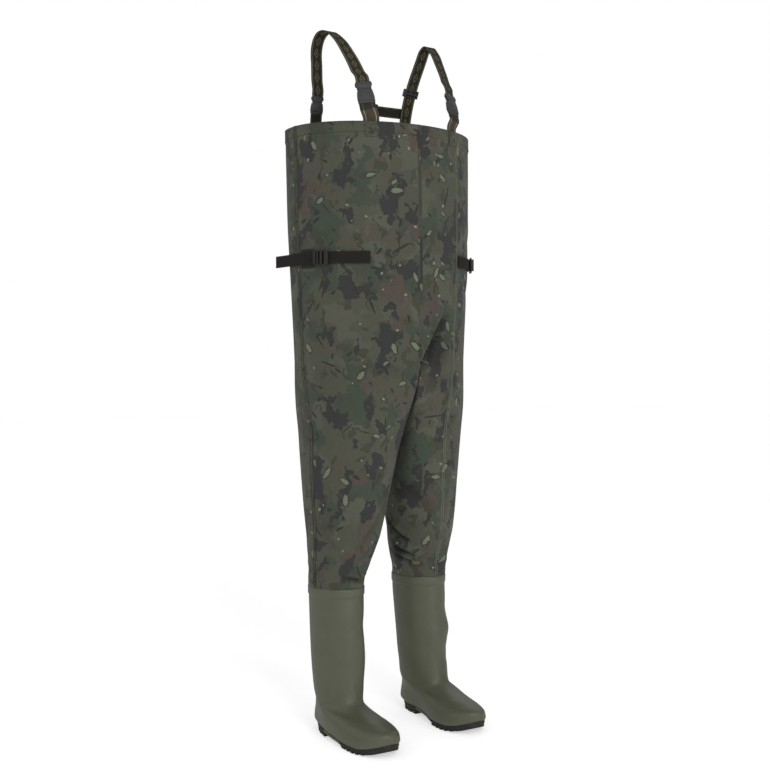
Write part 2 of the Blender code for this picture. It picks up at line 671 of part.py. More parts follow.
def ribbon(name, path, across, width, thick, look):
    """A flat band along a path; across gives the direction of its width at each step."""
    path = np.asarray(path, float)
    way = unit(np.gradient(path, axis=0, edge_order=1))
    across = np.broadcast_to(np.asarray(across, float), path.shape)
    across = unit(across - way * np.sum(across * way, axis=1, keepdims=True))
    normal = np.cross(way, across)
    points = []
    rows = []
    for middle, wide, out in zip(path, across, normal):
        start = len(points)
        for w, t in ((1, 1), (-1, 1), (-1, -1), (1, -1)):
            points.append(middle + wide * w * width / 2 + out * t * thick / 2)
        rows.append([start, start + 1, start + 2, start + 3])
    faces = [tuple(rows[0]), tuple(reversed(rows[-1]))]
    for first, second in zip(rows, rows[1:]):
        faces.extend(band(first, second))
    return solid(name, points, faces, look, flat=True)


def prism(name, outline, thick, foot, across, up, look):
    """A flat plate: an outline of (across, up) corners given a thickness about its own plane."""
    up = unit(up)
    across = unit(np.asarray(across) - up * np.dot(up, across))
    out = np.cross(across, up)
    count = len(outline)
    points = []
    for level in (-0.5, 0.5):
        points.extend(np.asarray(foot) + across * u + up * v + out * level * thick for u, v in outline)
    faces = [tuple(range(count)), tuple(range(2 * count - 1, count - 1, -1))]
    faces.extend(band(list(range(count)), list(range(count, 2 * count))))
    return solid(name, points, faces, look, flat=True)


def blocks(name, lines, filled, place, look):
    """A solid of boxes on a small lattice: lines gives its three sets of grid lines."""
    counts = [len(line) - 1 for line in lines]
    numbers = {}
    points = []
    faces = []

    def corner(i, j, k):
        if (i, j, k) not in numbers:
            numbers[i, j, k] = len(points)
            points.append(place(lines[0][i], lines[1][j], lines[2][k]))
        return numbers[i, j, k]

    def full(cell):
        return all(0 <= c < n for c, n in zip(cell, counts)) and bool(filled(*cell))

    for i in range(counts[0]):
        for j in range(counts[1]):
            for k in range(counts[2]):
                if not full((i, j, k)):
                    continue
                for axis in range(3):
                    for step in (0, 1):
                        beside = [i, j, k]
                        beside[axis] += 2 * step - 1
                        if full(beside):
                            continue
                        face = []
                        for a, b in ((0, 0), (1, 0), (1, 1), (0, 1)):
                            at = [i, j, k]
                            at[axis] += step
                            at[(axis + 1) % 3] += a
                            at[(axis + 2) % 3] += b
                            face.append(corner(*at))
                        faces.append(tuple(face if step else reversed(face)))
    return solid(name, points, faces, look, flat=True)


def placed(row):
    return np.array([row[0], row[1] + BODY_Y, row[2]])


def bib_spot(angle, z, side, lift):
    """A point on the bib, its way round and its way out, lifted off the cloth."""
    spots = []
    for offset in (-0.5, 0.0, 0.5):
        x, y = bib_xy(np.array([angle + offset]), np.array([z]), side, 0.0)
        spots.append(np.array([x[0], y[0], z]))
    way = unit(spots[2] - spots[0])
    out = unit(np.cross(way, (0, 0, 1)) * side)
    if np.dot(out[:2], spots[1][:2] - np.array([0, BODY_Y])) < 0:
        out = -out
    return spots[1] + out * lift, way, out


def clip_outline(rows, half, length):
    """Corners of one clip half from the shares of half width and length down its one side."""
    across = column(rows, CLIP_COLUMNS, "across") * half
    up = column(rows, CLIP_COLUMNS, "up") * length
    return list(zip(across, up)) + list(zip(-across[::-1], up[::-1]))


def clip(prefix, foot, head, across, half, thick):
    """The two halves of a side-release clip: a body below and a pronged half above it."""
    up = head - foot
    length = float(np.linalg.norm(up))
    for word, rows in (("_body", CLIP_BODY_ROWS), ("_prongs", CLIP_PRONG_ROWS)):
        prism(prefix + word, clip_outline(rows, half, length), thick, foot, across, up, CLIP_PLASTIC)


def strap_line(side):
    """The path of a shoulder strap from back to front and the direction of its width."""
    rows = LEFT_STRAP_ROWS if side == LEFT else RIGHT_STRAP_ROWS
    path = curve([placed(row) for row in rows], STRAP_STEPS)
    foot = placed((side * FRONT_CLIP_FOOT[0], FRONT_CLIP_FOOT[1], FRONT_CLIP_FOOT[2]))
    head = placed((side * FRONT_CLIP_TOP[0], FRONT_CLIP_TOP[1], FRONT_CLIP_TOP[2]))
    path[-2] = head + unit(head - foot) * WEB_STRAIGHT
    path[-1] = head + unit(head - foot) * WEB_CLEAR
    if side == RIGHT:
        foot = placed(BACK_CLIP_FOOT)
        head = placed(BACK_CLIP_TOP)
        path[0] = head + unit(head - foot) * WEB_CLEAR
        path[1] = head + unit(head - foot) * WEB_STRAIGHT
    share = ease((np.linspace(0, 1, STRAP_STEPS) - STRAP_TURN_START) / (1 - STRAP_TURN_START))[:, None]
    front_way = bib_spot(FRONT_TAB_ANGLE, RIM_FRONT, side, 0.0)[1] * side
    return path, np.array((1, -STRAP_TWIST * side, 0)) * (1 - share) + front_way * share


def shoulder_straps():
    for side, word in ((RIGHT, "right"), (LEFT, "left")):
        low = bib_spot(FRONT_TAB_ANGLE, RIM_FRONT - TAB_DEPTH, side, -TAB_INSET)[0]
        rim, way, out = bib_spot(FRONT_TAB_ANGLE, RIM_FRONT, side, -TAB_INSET)
        foot = placed((side * FRONT_CLIP_FOOT[0], FRONT_CLIP_FOOT[1], FRONT_CLIP_FOOT[2]))
        head = placed((side * FRONT_CLIP_TOP[0], FRONT_CLIP_TOP[1], FRONT_CLIP_TOP[2]))
        up = unit(head - foot)
        path = np.array((low, rim, rim + (0, 0, TAB_STRAIGHT), foot - up * WEB_STRAIGHT, foot - up * WEB_CLEAR))
        ribbon("front_tab_" + word, path, way, TAB_WIDTH, WEB_THICK, WEBBING)
        clip("front_clip_" + word, foot, head, way * side, CLIP_HALF, CLIP_THICK)

    foot = placed(BACK_CLIP_FOOT)
    head = placed(BACK_CLIP_TOP)
    low = placed((-BACK_TAB_X, BACK_TAB_Y, RIM_BACK - TAB_DEPTH))
    rim = placed((-BACK_TAB_X, BACK_TAB_Y, RIM_BACK + TAB_STRAIGHT / 2))
    up = unit(head - foot)
    path = np.array((low, rim, foot - up * WEB_STRAIGHT, foot - up * WEB_CLEAR))
    ribbon("back_tab_right", path, BACK_WAY, STRAP_WIDTH, WEB_THICK, WEBBING)
    clip("back_clip_right", foot, head, BACK_WAY, BACK_CLIP_HALF, BACK_CLIP_THICK)

    for side, word in ((RIGHT, "right"), (LEFT, "left")):
        path, across = strap_line(side)
        ribbon("strap_" + word, path, across, STRAP_WIDTH, WEB_THICK, WEBBING)


def back_fittings():
    path, across = strap_line(LEFT)
    step = int(np.argmin(np.abs(path[:STRAP_STEPS // 2, 2] - SLIDER_Z)))
    middle = path[step]
    up = unit(path[step + 1] - path[step - 1])
    across = unit(across[step] - up * np.dot(across[step], up))
    out = np.cross(across, up)

    def place(u, v, w):
        return middle + across * u + up * v + out * w

    blocks("back_slider_left", BACK_SLIDER_LINES, lambda i, j, k: not (i == 1 and k == 1), place, CLIP_PLASTIC)

    post = [placed((POST_X, POST_Y, z)) for z in np.linspace(RIM_BACK - TAB_DEPTH, POST_TOP, 5)]
    ribbon("bridge_tab", post, (1, 0, 0), POST_WIDTH, WEB_THICK, WEBBING)
    bridge = [placed((x, y, BRIDGE_Z)) for x, y in BRIDGE_ROWS]
    ribbon("back_bridge", curve(bridge, 8), (0, 0, 1), BRIDGE_WIDTH, WEB_THICK, WEBBING)


def waist_straps():
    for side, word in ((RIGHT, "right"), (LEFT, "left")):
        angles = np.linspace(WAIST_START_ANGLE, WAIST_LEAVE_ANGLE, 13)
        path = [bib_spot(angle, WAIST_Z, side, WAIST_LIFT)[0] for angle in angles]
        splay = math.radians(WAIST_TAIL_SPLAY)
        way = np.array((side * math.sin(splay), math.cos(splay), 0))
        path += [path[-1] + way * WAIST_TAIL * part for part in (0.15, 0.5, 1.0)]
        ribbon("waist_strap_" + word, path, (0, 0, 1), WAIST_WIDTH, WEB_THICK, WEBBING)
        patch = [bib_spot(angle, WAIST_Z, side, PATCH_LIFT)[0] for angle in np.linspace(*PATCH_ANGLES, 6)]
        ribbon("waist_patch_" + word, patch, (0, 0, 1), PATCH_HEIGHT, PATCH_THICK, WEBBING)
        middle, way, out = bib_spot(SLIDER_ANGLE, WAIST_Z, side, SLIDER_LIFT)

        def place(u, v, w):
            return middle + way * u + np.array((0, 0, 1)) * v + out * w

        def filled(i, j, k):
            return (k == 0 and not (i in SLIDER_SLOTS and j == 1)) or (i == SLIDER_LIP and j == 1)

        blocks("waist_slider_" + word, SLIDER_LINES, filled, place, CLIP_PLASTIC)


wader_body()
for foot, word in ((RIGHT, "right"), (LEFT, "left")):
    boot(foot, "boot_" + word)
    outsole(foot, "outsole_" + word)
    insole(foot, "insole_" + word)
shoulder_straps()
back_fittings()
waist_straps()
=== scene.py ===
"""Looks of the chest waders: camouflage cloth, satin PVC boots, webbing and moulded clips.

Metres, +Z up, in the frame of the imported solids. The wearer faces -Y and the wearer's left is +X.
"""

import math

import bmesh
import bpy
import numpy as np
from mathutils import Matrix


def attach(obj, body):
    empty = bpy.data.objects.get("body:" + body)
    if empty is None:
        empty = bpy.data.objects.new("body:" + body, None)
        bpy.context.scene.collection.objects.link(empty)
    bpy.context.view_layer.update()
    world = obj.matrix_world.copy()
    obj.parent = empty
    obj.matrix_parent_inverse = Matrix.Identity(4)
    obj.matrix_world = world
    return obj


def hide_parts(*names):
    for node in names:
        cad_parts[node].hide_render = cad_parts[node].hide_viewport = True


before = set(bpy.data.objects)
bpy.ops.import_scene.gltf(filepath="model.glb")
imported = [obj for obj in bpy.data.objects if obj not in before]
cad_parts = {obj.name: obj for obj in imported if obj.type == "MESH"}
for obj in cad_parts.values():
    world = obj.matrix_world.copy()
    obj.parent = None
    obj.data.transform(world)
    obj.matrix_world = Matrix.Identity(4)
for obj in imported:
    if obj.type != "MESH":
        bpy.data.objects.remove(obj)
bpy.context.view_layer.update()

RIGHT = -1
LEFT = 1
SIDES = ((RIGHT, "right"), (LEFT, "left"))
GAP = 0.0003
CURVE_STEPS = 900
UP = np.array((0.0, 0.0, 1.0))
ACROSS = np.array((1.0, 0.0, 0.0))


class Table:
    """Rows of numbers in named columns, read smoothly along the first column."""

    def __init__(self, names, rows):
        self.names = names.split()
        self.rows = np.array(rows, float)
        self.column = dict(zip(self.names, self.rows.T))

    def at(self, name, x):
        return smooth(x, self.column[self.names[0]], self.column[name])


# Sizes of the cloth body, as in the solids
BODY_Y = 0.06115
CLOTH_WALL = 0.0014
HEM_HEIGHT = 0.030
HEM_STEP = 0.0010
HEM_EDGE = 0.0025
HEM_SHARES = (-0.2, 0.3, 0.7, 1.2)
SEAM_ANGLE = 84.0
RIDGE_ANGLE = 31.0
RIM_FRONT = 1.428
RIM_BACK = 1.427
CROTCH_FRONT = 0.885
CROTCH_BACK = 0.872
CROTCH_DIP = 0.062
CROTCH_POWER = 0.8
LEG_JOIN = 0.70
TUCK_Z = 0.3454
TUCK_FADE = 0.010
TUCK_STEPS = (0.0060, 0.0020, 0.0, -0.0004, -0.0030, -0.036)
LEG_START_ANGLE = -42.0
LEG_SWEEP = 264.0
FOLD_SOFTNESS = 0.012
FULL_TURN = 360.0 * 180.0 / LEG_SWEEP

BIB = Table("z half_width front back back_power", (
    (0.860, 0.219, 0.187, 0.136, 2.00),
    (0.920, 0.222, 0.188, 0.136, 2.00),
    (1.000, 0.226, 0.190, 0.135, 2.05),
    (1.100, 0.231, 0.192, 0.132, 2.15),
    (1.200, 0.235, 0.189, 0.127, 2.35),
    (1.300, 0.237, 0.186, 0.119, 2.55),
    (1.428, 0.239, 0.180, 0.112, 2.80),
))
LEG = Table("z centre_x centre_y fore_half across_half turn gap", (
    (0.290, 0.1270, -0.002, 0.0665, 0.0570, 0, 0.020),
    (0.337, 0.1270, -0.002, 0.0665, 0.0570, 0, 0.020),
    (0.3450, 0.1270, -0.002, 0.0665, 0.0570, 0, 0.020),
    (0.3454, 0.1270, -0.002, 0.0722, 0.0647, 0, 0.022),
    (0.360, 0.1265, -0.003, 0.0720, 0.0660, 1, 0.024),
    (0.395, 0.1212, -0.008, 0.0752, 0.0727, 8, 0.024),
    (0.430, 0.1180, -0.013, 0.0855, 0.0780, 12, 0.023),
    (0.470, 0.1150, -0.020, 0.0950, 0.0830, 16, 0.021),
    (0.520, 0.1110, -0.021, 0.1040, 0.0900, 18, 0.017),
    (0.580, 0.1055, -0.021, 0.1130, 0.0980, 20, 0.013),
    (0.650, 0.0985, -0.022, 0.1250, 0.1070, 20, 0.010),
    (0.720, 0.0900, -0.025, 0.1400, 0.1160, 20, 0.008),
    (0.800, 0.0840, -0.027, 0.1530, 0.1240, 20, 0.006),
    (0.890, 0.0800, -0.028, 0.1600, 0.1270, 20, 0.006),
))

# How finely the cloth is drawn
HALF_STEPS = 110
BIB_STEPS = 66
BLEND_STEPS = 26
THIGH_STEP = 0.0075
CALF_STEP = 0.0036
CALF_TOP = 0.555
CROTCH_STEPS = 38

# Where the panels lie on the flat print, in metres
FRONT_PRINT = 3.0
BACK_PRINT = 11.0
LEFT_PRINT = 5.0
RIM_PRINT = 2.0
RIM_PRINT_STEP = 0.007

# Sizes of the boots, as in the solids
HEEL_BACK_Y = 0.11215
HEEL_X = 0.1315
STAGGER = 0.014
STAGGER_TOP = 0.80
STAGGER_FOOT = 0.34
SOLE_LENGTH = 0.294
BOOT_WALL = 0.0026
INFLARE = 0.0015
INFLARE_START = 0.25
INFLARE_SPAN = 0.60
FOOT_TURN = 0.034
TURN_PIVOT = 0.10
ARCH_BOW = 0.0070
ARCH_MIDDLE = 0.115
ARCH_SPAN = 0.055
TURN_LOW = 0.045
TURN_HIGH = 0.110
CAP_STEP = 0.0009
CAP_SHARE = 0.30
CAP_EDGE = 0.014
CAP_RISE = 0.4
CAP_FRONT = 0.28
SPUR_OUT = 0.0065
SPUR_Z = 0.033
SPUR_TALL = 0.010
SPUR_WIDE = 0.020
HEEL_SHARE = 0.3
LAST = Table("share fullness", (
    (0.00, 1.24),
    (0.08, 1.11),
    (0.17, 1.01),
    (0.30, 0.91),
    (0.45, 0.92),
    (0.60, 1.05),
    (0.70, 1.16),
    (0.80, 1.24),
    (0.90, 1.29),
    (1.00, 1.34),
))
BOOT = Table("back back_z front front_z half_width oval follow lean cap taper bend", (
    (0.0120, 0.0183, 0.2905, 0.0310, 0.0515, 0.00, 1.00, 0.0000, 1.0, 0.00, 0.0),
    (-0.0060, 0.0290, 0.2944, 0.0375, 0.0552, 0.25, 0.80, 0.0000, 1.0, -0.06, 0.0),
    (-0.0060, 0.0430, 0.2936, 0.0478, 0.0552, 0.60, 0.50, 0.0000, 1.0, -0.10, 0.0),
    (-0.0045, 0.0560, 0.2870, 0.0562, 0.0550, 0.85, 0.30, 0.0000, 0.7, 0.00, 0.2),
    (-0.0030, 0.0650, 0.2715, 0.0604, 0.0554, 0.95, 0.20, 0.0000, 0.2, 0.18, 0.6),
    (-0.0010, 0.0800, 0.2380, 0.0638, 0.0556, 1.00, 0.00, -0.0005, 0.0, 0.36, 1.0),
    (-0.0004, 0.0910, 0.2050, 0.0676, 0.0558, 1.00, 0.00, -0.0012, 0.0, 0.40, 1.0),
    (-0.0002, 0.1020, 0.1750, 0.0738, 0.0560, 1.00, 0.00, -0.0018, 0.0, 0.32, 1.0),
    (0.0000, 0.1150, 0.1500, 0.0850, 0.0563, 1.00, 0.00, -0.0015, 0.0, 0.15, 1.0),
    (-0.0005, 0.1330, 0.1400, 0.1065, 0.0572, 1.00, 0.00, -0.0010, 0.0, 0.04, 1.0),
    (-0.0035, 0.1610, 0.1338, 0.1500, 0.0597, 1.00, 0.00, -0.0015, 0.0, 0.00, 0.5),
    (-0.0078, 0.2050, 0.1320, 0.2020, 0.0617, 1.00, 0.00, -0.0020, 0.0, 0.00, 0.0),
    (-0.0142, 0.2600, 0.1288, 0.2600, 0.0627, 1.00, 0.00, -0.0033, 0.0, 0.00, 0.0),
    (-0.0192, 0.3120, 0.1252, 0.3120, 0.0634, 1.00, 0.00, -0.0045, 0.0, 0.00, 0.0),
    (-0.0198, 0.3235, 0.1247, 0.3235, 0.0636, 1.00, 0.00, -0.0045, 0.0, 0.00, 0.0),
    (-0.0217, 0.3262, 0.1267, 0.3262, 0.0653, 1.00, 0.00, -0.0045, 0.0, 0.00, 0.0),
    (-0.0220, 0.3420, 0.1270, 0.3420, 0.0656, 1.00, 0.00, -0.0045, 0.0, 0.00, 0.0),
    (-0.0208, 0.3450, 0.1258, 0.3450, 0.0644, 1.00, 0.00, -0.0045, 0.0, 0.00, 0.0),
))
TAPER_START = 0.30
COLLAR_ROWS = 3
BOOT_STEP = 0.0042
BOOT_LEAST_STEPS = 3
BOOT_SHARP = 60
BOOT_ROUND = 120
SOLE = Table("along top bottom waist", (
    (0.000, 0.0180, 0.0000, 0.00),
    (0.088, 0.0180, 0.0000, 0.00),
    (0.092, 0.0178, 0.0120, 0.80),
    (0.130, 0.0160, 0.0092, 1.00),
    (0.168, 0.0128, 0.0060, 0.80),
    (0.176, 0.0122, 0.0000, 0.00),
    (0.226, 0.0130, 0.0000, 0.00),
    (0.252, 0.0165, 0.0035, 0.00),
    (0.273, 0.0225, 0.0090, 0.00),
    (0.294, 0.0310, 0.0170, 0.00),
))
WAIST_INSET = 0.009
WAIST_LIFT_INNER = 0.0045
WAIST_LIFT_OUTER = -0.0010
SOLE_LEDGE = 0.0045
SOLE_STEP = 0.0014
SOLE_DRAFT = 0.0022
SOLE_EDGE = 0.0007
SOLE_LEAST = 0.0024
SOLE_ROUND = 0.0008
SOLE_SHARP = 38
OUTLINE_SPAN = (0.012, 0.988)
OUTLINE_STEPS = 160
LUG_DEPTH = 0.0058
LUG_SLOT = 0.0070
SLOT_FLAT = 0.44
SLOT_WALL = 0.10
SLOT_SHARES = (-0.54, -0.50, -0.44, 0.44, 0.50, 0.54)
WAIST_ENDS = (0.0875, 0.0882, 0.090, 0.0918, 0.0925, 0.1675, 0.169, 0.172, 0.175, 0.1765)
HEEL_SLOTS = (0.025, 0.049, 0.073)
FORE_SLOTS = (0.192, 0.208, 0.224, 0.240, 0.256)
SOLE_OVERHANG = 0.0018
INSOLE_THICK = 0.0030
INSOLE_LIFT = 0.0012
INSOLE_INSET = 0.0060
INSOLE_SOFT = 0.0008
INSOLE_LEAST = 0.006
INSOLE_SKIP = 3
INSOLE_SHARP = 50

# Sizes of the webbing and its fittings, as in the solids
WEB_THICK = 0.0020
STRAP_WIDTH = 0.033
TAB_WIDTH = 0.038
FRONT_TAB_ANGLE = 28.6
TAB_INSET = 0.0052
TAB_DEPTH = 0.040
TAB_FOLD_STEPS = 8
TAB_FOLD_WIDTH = TAB_WIDTH + 0.0008
FRONT_TAB_RISE = 0.008
BACK_TAB_RISE = 0.004
RIGHT_STRAP_ROWS = (
    (-0.1240, 0.0850, 1.5325),
    (-0.1270, 0.0820, 1.6000),
    (-0.1280, 0.0800, 1.6500),
    (-0.1270, 0.0650, 1.6740),
    (-0.1250, 0.0330, 1.6790),
    (-0.1220, -0.0120, 1.6540),
    (-0.1200, -0.0650, 1.6010),
    (-0.1220, -0.1310, 1.5220),
)
LEFT_STRAP_ROWS = (
    (0.1360, 0.0965, 1.3900),
    (0.1370, 0.0965, 1.4400),
    (0.1400, 0.0940, 1.5000),
    (0.1460, 0.0800, 1.5650),
    (0.1480, 0.0430, 1.6280),
    (0.1475, 0.0000, 1.6720),
    (0.1450, -0.0280, 1.6530),
    (0.1400, -0.0640, 1.6070),
    (0.1220, -0.1310, 1.5220),
)
STRAP_KNOTS = 22
STRAP_STEPS = 160
WEB_CLEAR = 0.0002
WEB_STRAIGHT = 0.012
STRAP_TWIST = 0.08
STRAP_TURN_START = 0.375
FRONT_CLIP_TOP = (0.1220, -0.1315, 1.5215)
FRONT_CLIP_FOOT = (0.1210, -0.1490, 1.4700)
BACK_CLIP_TOP = (-0.1230, 0.0852, 1.5320)
BACK_CLIP_FOOT = (-0.1225, 0.0925, 1.4900)
BACK_TAB_X = 0.1220
BACK_TAB_Y = 0.0960
BACK_WAY = (1.0, 0.06, 0.0)
CLIP_HALF = 0.0200
CLIP_THICK = 0.0095
BACK_CLIP_HALF = 0.0170
BACK_CLIP_THICK = 0.0080
CLIP_SOFT = 0.0022
PAD_BOX = (-0.50, 0.50, 0.22, 0.52)
PAD_SOFT = 0.004
PAD_THICK = 0.0014
PAD_BEVEL = 0.0006

# Plates of each half of a clip: shares across and up, share of the thickness, bevel
CLIP_PARTS = (
    ("socket", "body", (
        (((0.94, 0.000), (1.00, 0.030), (1.00, 0.130), (0.96, 0.160)), 0.62, 0.0010),
        (((0.98, 0.120), (1.00, 0.240), (0.94, 0.440), (0.86, 0.600), (0.60, 0.660)), 1.00, 0.0014),
    )),
    ("tongue", "prongs", (
        (((0.72, 0.560), (0.72, 0.860)), 0.56, 0.0010),
        (((0.88, 0.660), (0.80, 0.700), (0.82, 0.760), (0.98, 0.800), (1.00, 0.860), (0.94, 0.900)),
         0.86, 0.0012),
        (((0.97, 0.840), (1.00, 0.880), (0.96, 0.960), (0.86, 1.000)), 0.66, 0.0010),
    )),
)

# Plates of the sliders: box, corner, thickness, bevel, level, holes
STRAP_HOLES = ((-0.0150, 0.0150, -0.0068, -0.0026), (-0.0150, 0.0150, 0.0026, 0.0068))
STRAP_SLIDER_PLATES = (
    ((-0.0205, 0.0205, -0.0100, 0.0100), 0.002, 0.0024, 0.0007, -0.0038, STRAP_HOLES),
    ((-0.0205, 0.0205, -0.0100, 0.0100), 0.002, 0.0024, 0.0007, 0.0038, STRAP_HOLES),
    ((-0.02035, -0.01715, -0.0096, 0.0096), 0.001, 0.0096, 0.0006, 0.0, ()),
    ((0.01715, 0.02035, -0.0096, 0.0096), 0.001, 0.0096, 0.0006, 0.0, ()),
)
WAIST_HOLES = ((-0.0065, -0.0030, -0.0145, 0.0145), (0.0030, 0.0075, -0.0145, 0.0145))
WAIST_SLIDER_PLATES = (
    ((-0.0180, 0.0180, -0.0185, 0.0185), 0.003, 0.0045, 0.0010, 0.00225, WAIST_HOLES),
    ((-0.0180, -0.0125, -0.0145, 0.0145), 0.002, 0.0095, 0.0010, 0.00475, ()),
    ((-0.0022, 0.0022, -0.0150, 0.0150), 0.001, 0.0060, 0.0008, 0.0030, ()),
)

# Places of the back band, its post, the slider and the waist straps
BRIDGE_WIDTH = 0.027
BRIDGE_Z = 1.5200
BRIDGE_ROWS = ((0.0300, 0.1011), (0.0640, 0.1011), (0.1215, 0.0986), (0.1585, 0.0956))
POST_X = 0.0450
POST_Y = 0.0985
POST_TOP = 1.5365
POST_WIDTH = 0.030
SLIDER_Z = 1.5700
WAIST_Z = 1.1155
WAIST_WIDTH = 0.028
WAIST_START_ANGLE = 31.5
WAIST_LEAVE_ANGLE = 88.0
WAIST_TAIL = 0.080
WAIST_TAIL_SPLAY = 5.0
WAIST_LIFT = 0.0038
PATCH_ANGLES = (68.0, 80.0)
PATCH_HEIGHT = 0.044
PATCH_LIFT = 0.0017
PATCH_THICK = 0.0011
SLIDER_ANGLE = 62.0
SLIDER_LIFT = 0.0060

# Shape of every crease: steps along it, its lip, how far it reaches in widths and how it fades out
CREASE_STEPS = 22
LIP_OFFSET = 1.9
LIP_WIDTH = 1.2
CREASE_REACH = 4.5
FADE_ENDS = (0.04, 0.96)
FADE_POWER = 0.6

# How points of the cloth are found: metres for a degree of turn, how many nearest points, small sums
TURN_LENGTH = 0.004
SPOT_COUNT = 6
SPOT_SOFT = 1e-7
PROBE_RING = 4
TINY = 1e-9

# Creases of the cloth: from one spot to another, turn in degrees round the side and height in metres
CREASE_COLUMNS = ("side", "turn_1", "z_1", "turn_2", "z_2", "bow", "width", "depth", "lip")
CREASE_ROWS = (
    (RIGHT, 44, 0.377, 0, 0.364, -0.004, 0.0058, 0.0120, 0.7),
    (RIGHT, 104, 0.402, 74, 0.386, -0.004, 0.0085, 0.0025, 0.4),
    (RIGHT, 6, 0.548, 34, 0.452, -0.010, 0.0110, 0.0060, 0.6),
    (RIGHT, 5, 0.462, 30, 0.408, -0.006, 0.0085, 0.0055, 0.6),
    (RIGHT, 86, 0.520, 54, 0.438, -0.004, 0.0120, 0.0040, 0.5),
    (RIGHT, 3, 0.840, 40, 0.868, 0.006, 0.0140, 0.0035, 0.4),
    (RIGHT, 70, 1.098, 52, 1.020, 0.000, 0.0130, 0.0032, 0.4),
    (RIGHT, 70, 1.134, 50, 1.200, 0.000, 0.0130, 0.0028, 0.4),
    (LEFT, -46, 0.466, -2, 0.402, -0.010, 0.0060, 0.0150, 0.8),
    (LEFT, -44, 0.500, -8, 0.440, -0.008, 0.0060, 0.0110, 0.7),
    (LEFT, -42, 0.414, 10, 0.378, -0.005, 0.0055, 0.0075, 0.8),
    (LEFT, 14, 0.392, 62, 0.366, 0.000, 0.0065, 0.0045, 0.6),
    (LEFT, -24, 0.610, 26, 0.520, -0.010, 0.0150, 0.0050, 0.5),
    (LEFT, 1, 0.850, 21, 0.985, 0.004, 0.0105, 0.0260, 0.30),
    (LEFT, 9, 0.850, 27, 0.950, 0.004, 0.0240, 0.0110, 0.0),
    (LEFT, 3, 0.826, 46, 0.838, 0.006, 0.0150, 0.0035, 0.4),
    (LEFT, 70, 1.098, 50, 1.015, 0.000, 0.0130, 0.0032, 0.4),
    (LEFT, 70, 1.134, 52, 1.205, 0.000, 0.0130, 0.0028, 0.4),
    (RIGHT, 128, 0.556, 176, 0.528, -0.008, 0.0130, 0.0065, 0.6),
    (RIGHT, 122, 0.508, 168, 0.474, -0.008, 0.0110, 0.0055, 0.6),
    (RIGHT, 150, 0.412, 112, 0.382, -0.004, 0.0080, 0.0055, 0.6),
    (RIGHT, 176, 0.842, 118, 0.792, -0.012, 0.0170, 0.0060, 0.5),
    (LEFT, 124, 0.548, 174, 0.534, -0.008, 0.0130, 0.0065, 0.6),
    (LEFT, 130, 0.498, 172, 0.466, -0.008, 0.0110, 0.0055, 0.6),
    (LEFT, 156, 0.408, 108, 0.386, -0.004, 0.0080, 0.0055, 0.6),
    (LEFT, 176, 0.838, 116, 0.798, -0.012, 0.0170, 0.0060, 0.5),
)

# Waves of the boot shafts: turn in degrees from the toe line, outward positive, depth outward positive
WAVE_COLUMNS = ("side", "turn", "z", "tall", "spread", "depth")
WAVE_ROWS = (
    (LEFT, 50, 0.262, 0.020, 42, -0.0022),
    (LEFT, 52, 0.211, 0.021, 44, 0.0046),
    (LEFT, 50, 0.150, 0.022, 44, -0.0042),
    (LEFT, -6, 0.232, 0.026, 34, -0.0020),
    (RIGHT, -54, 0.250, 0.024, 42, -0.0022),
    (RIGHT, -52, 0.170, 0.040, 44, 0.0030),
    (RIGHT, 12, 0.160, 0.028, 34, -0.0018),
)


def cubic(x, xs, ys, slope):
    """A cubic through the rows of a table with a given slope at each row."""
    k = np.clip(np.searchsorted(xs, x) - 1, 0, len(xs) - 2)
    step = xs[k + 1] - xs[k]
    t = np.clip((x - xs[k]) / step, 0, 1)
    return ((2 * t ** 3 - 3 * t ** 2 + 1) * ys[k] + (t ** 3 - 2 * t ** 2 + t) * step * slope[k]
            + (3 * t ** 2 - 2 * t ** 3) * ys[k + 1] + (t ** 3 - t ** 2) * step * slope[k + 1])


def smooth(x, xs, ys):
    """A cubic through the rows whose slopes are limited so that it never overshoots."""
    rise = np.diff(ys) / np.diff(xs)
    product = rise[:-1] * rise[1:]
    total = rise[:-1] + rise[1:]
    inner = np.where(product > 0, 2 * product / np.where(total == 0, 1, total), 0)
    return cubic(np.asarray(x, float), xs, ys, np.concatenate([rise[:1], inner, rise[-1:]]))


def ease(t):
    t = np.clip(t, 0, 1)
    return t * t * (3 - 2 * t)


def unit(vector):
    vector = np.asarray(vector, float)
    return vector / np.linalg.norm(vector, axis=-1, keepdims=True)


def lengths(path):
    """The length along a path at each of its points."""
    return np.concatenate([[0], np.cumsum(np.linalg.norm(np.diff(path, axis=0), axis=1))])


def at_length(where, length, values):
    """Points or directions read off between those of a path."""
    return np.stack([np.interp(where, length, values[:, axis]) for axis in range(3)], axis=-1)


def curve(rows, count):
    """Even steps along a smooth curve through the rows of a path."""
    points = np.array(rows, float)
    chord = lengths(points)
    slopes = np.gradient(points, chord, axis=0)
    fine = np.linspace(0, chord[-1], CURVE_STEPS)
    dense = np.stack([cubic(fine, chord, points[:, i], slopes[:, i]) for i in range(3)], axis=1)
    length = lengths(dense)
    return at_length(np.linspace(0, length[-1], count), length, dense)


def placed(row, side=LEFT):
    """A point in the body's own sizes, or its mirror image, in the shared frame."""
    return np.array([side * row[0], row[1] + BODY_Y, row[2]])


# Materials


def colour(red, green, blue):
    """A screen colour of 0 to 255 as the linear colour that shaders take."""
    def linear(value):
        value = value / 255
        return value / 12.92 if value <= 0.04045 else ((value + 0.055) / 1.055) ** 2.4
    return (linear(red), linear(green), linear(blue), 1.0)


def darker(paint, share):
    return tuple(value * share for value in paint[:3]) + (1.0,)


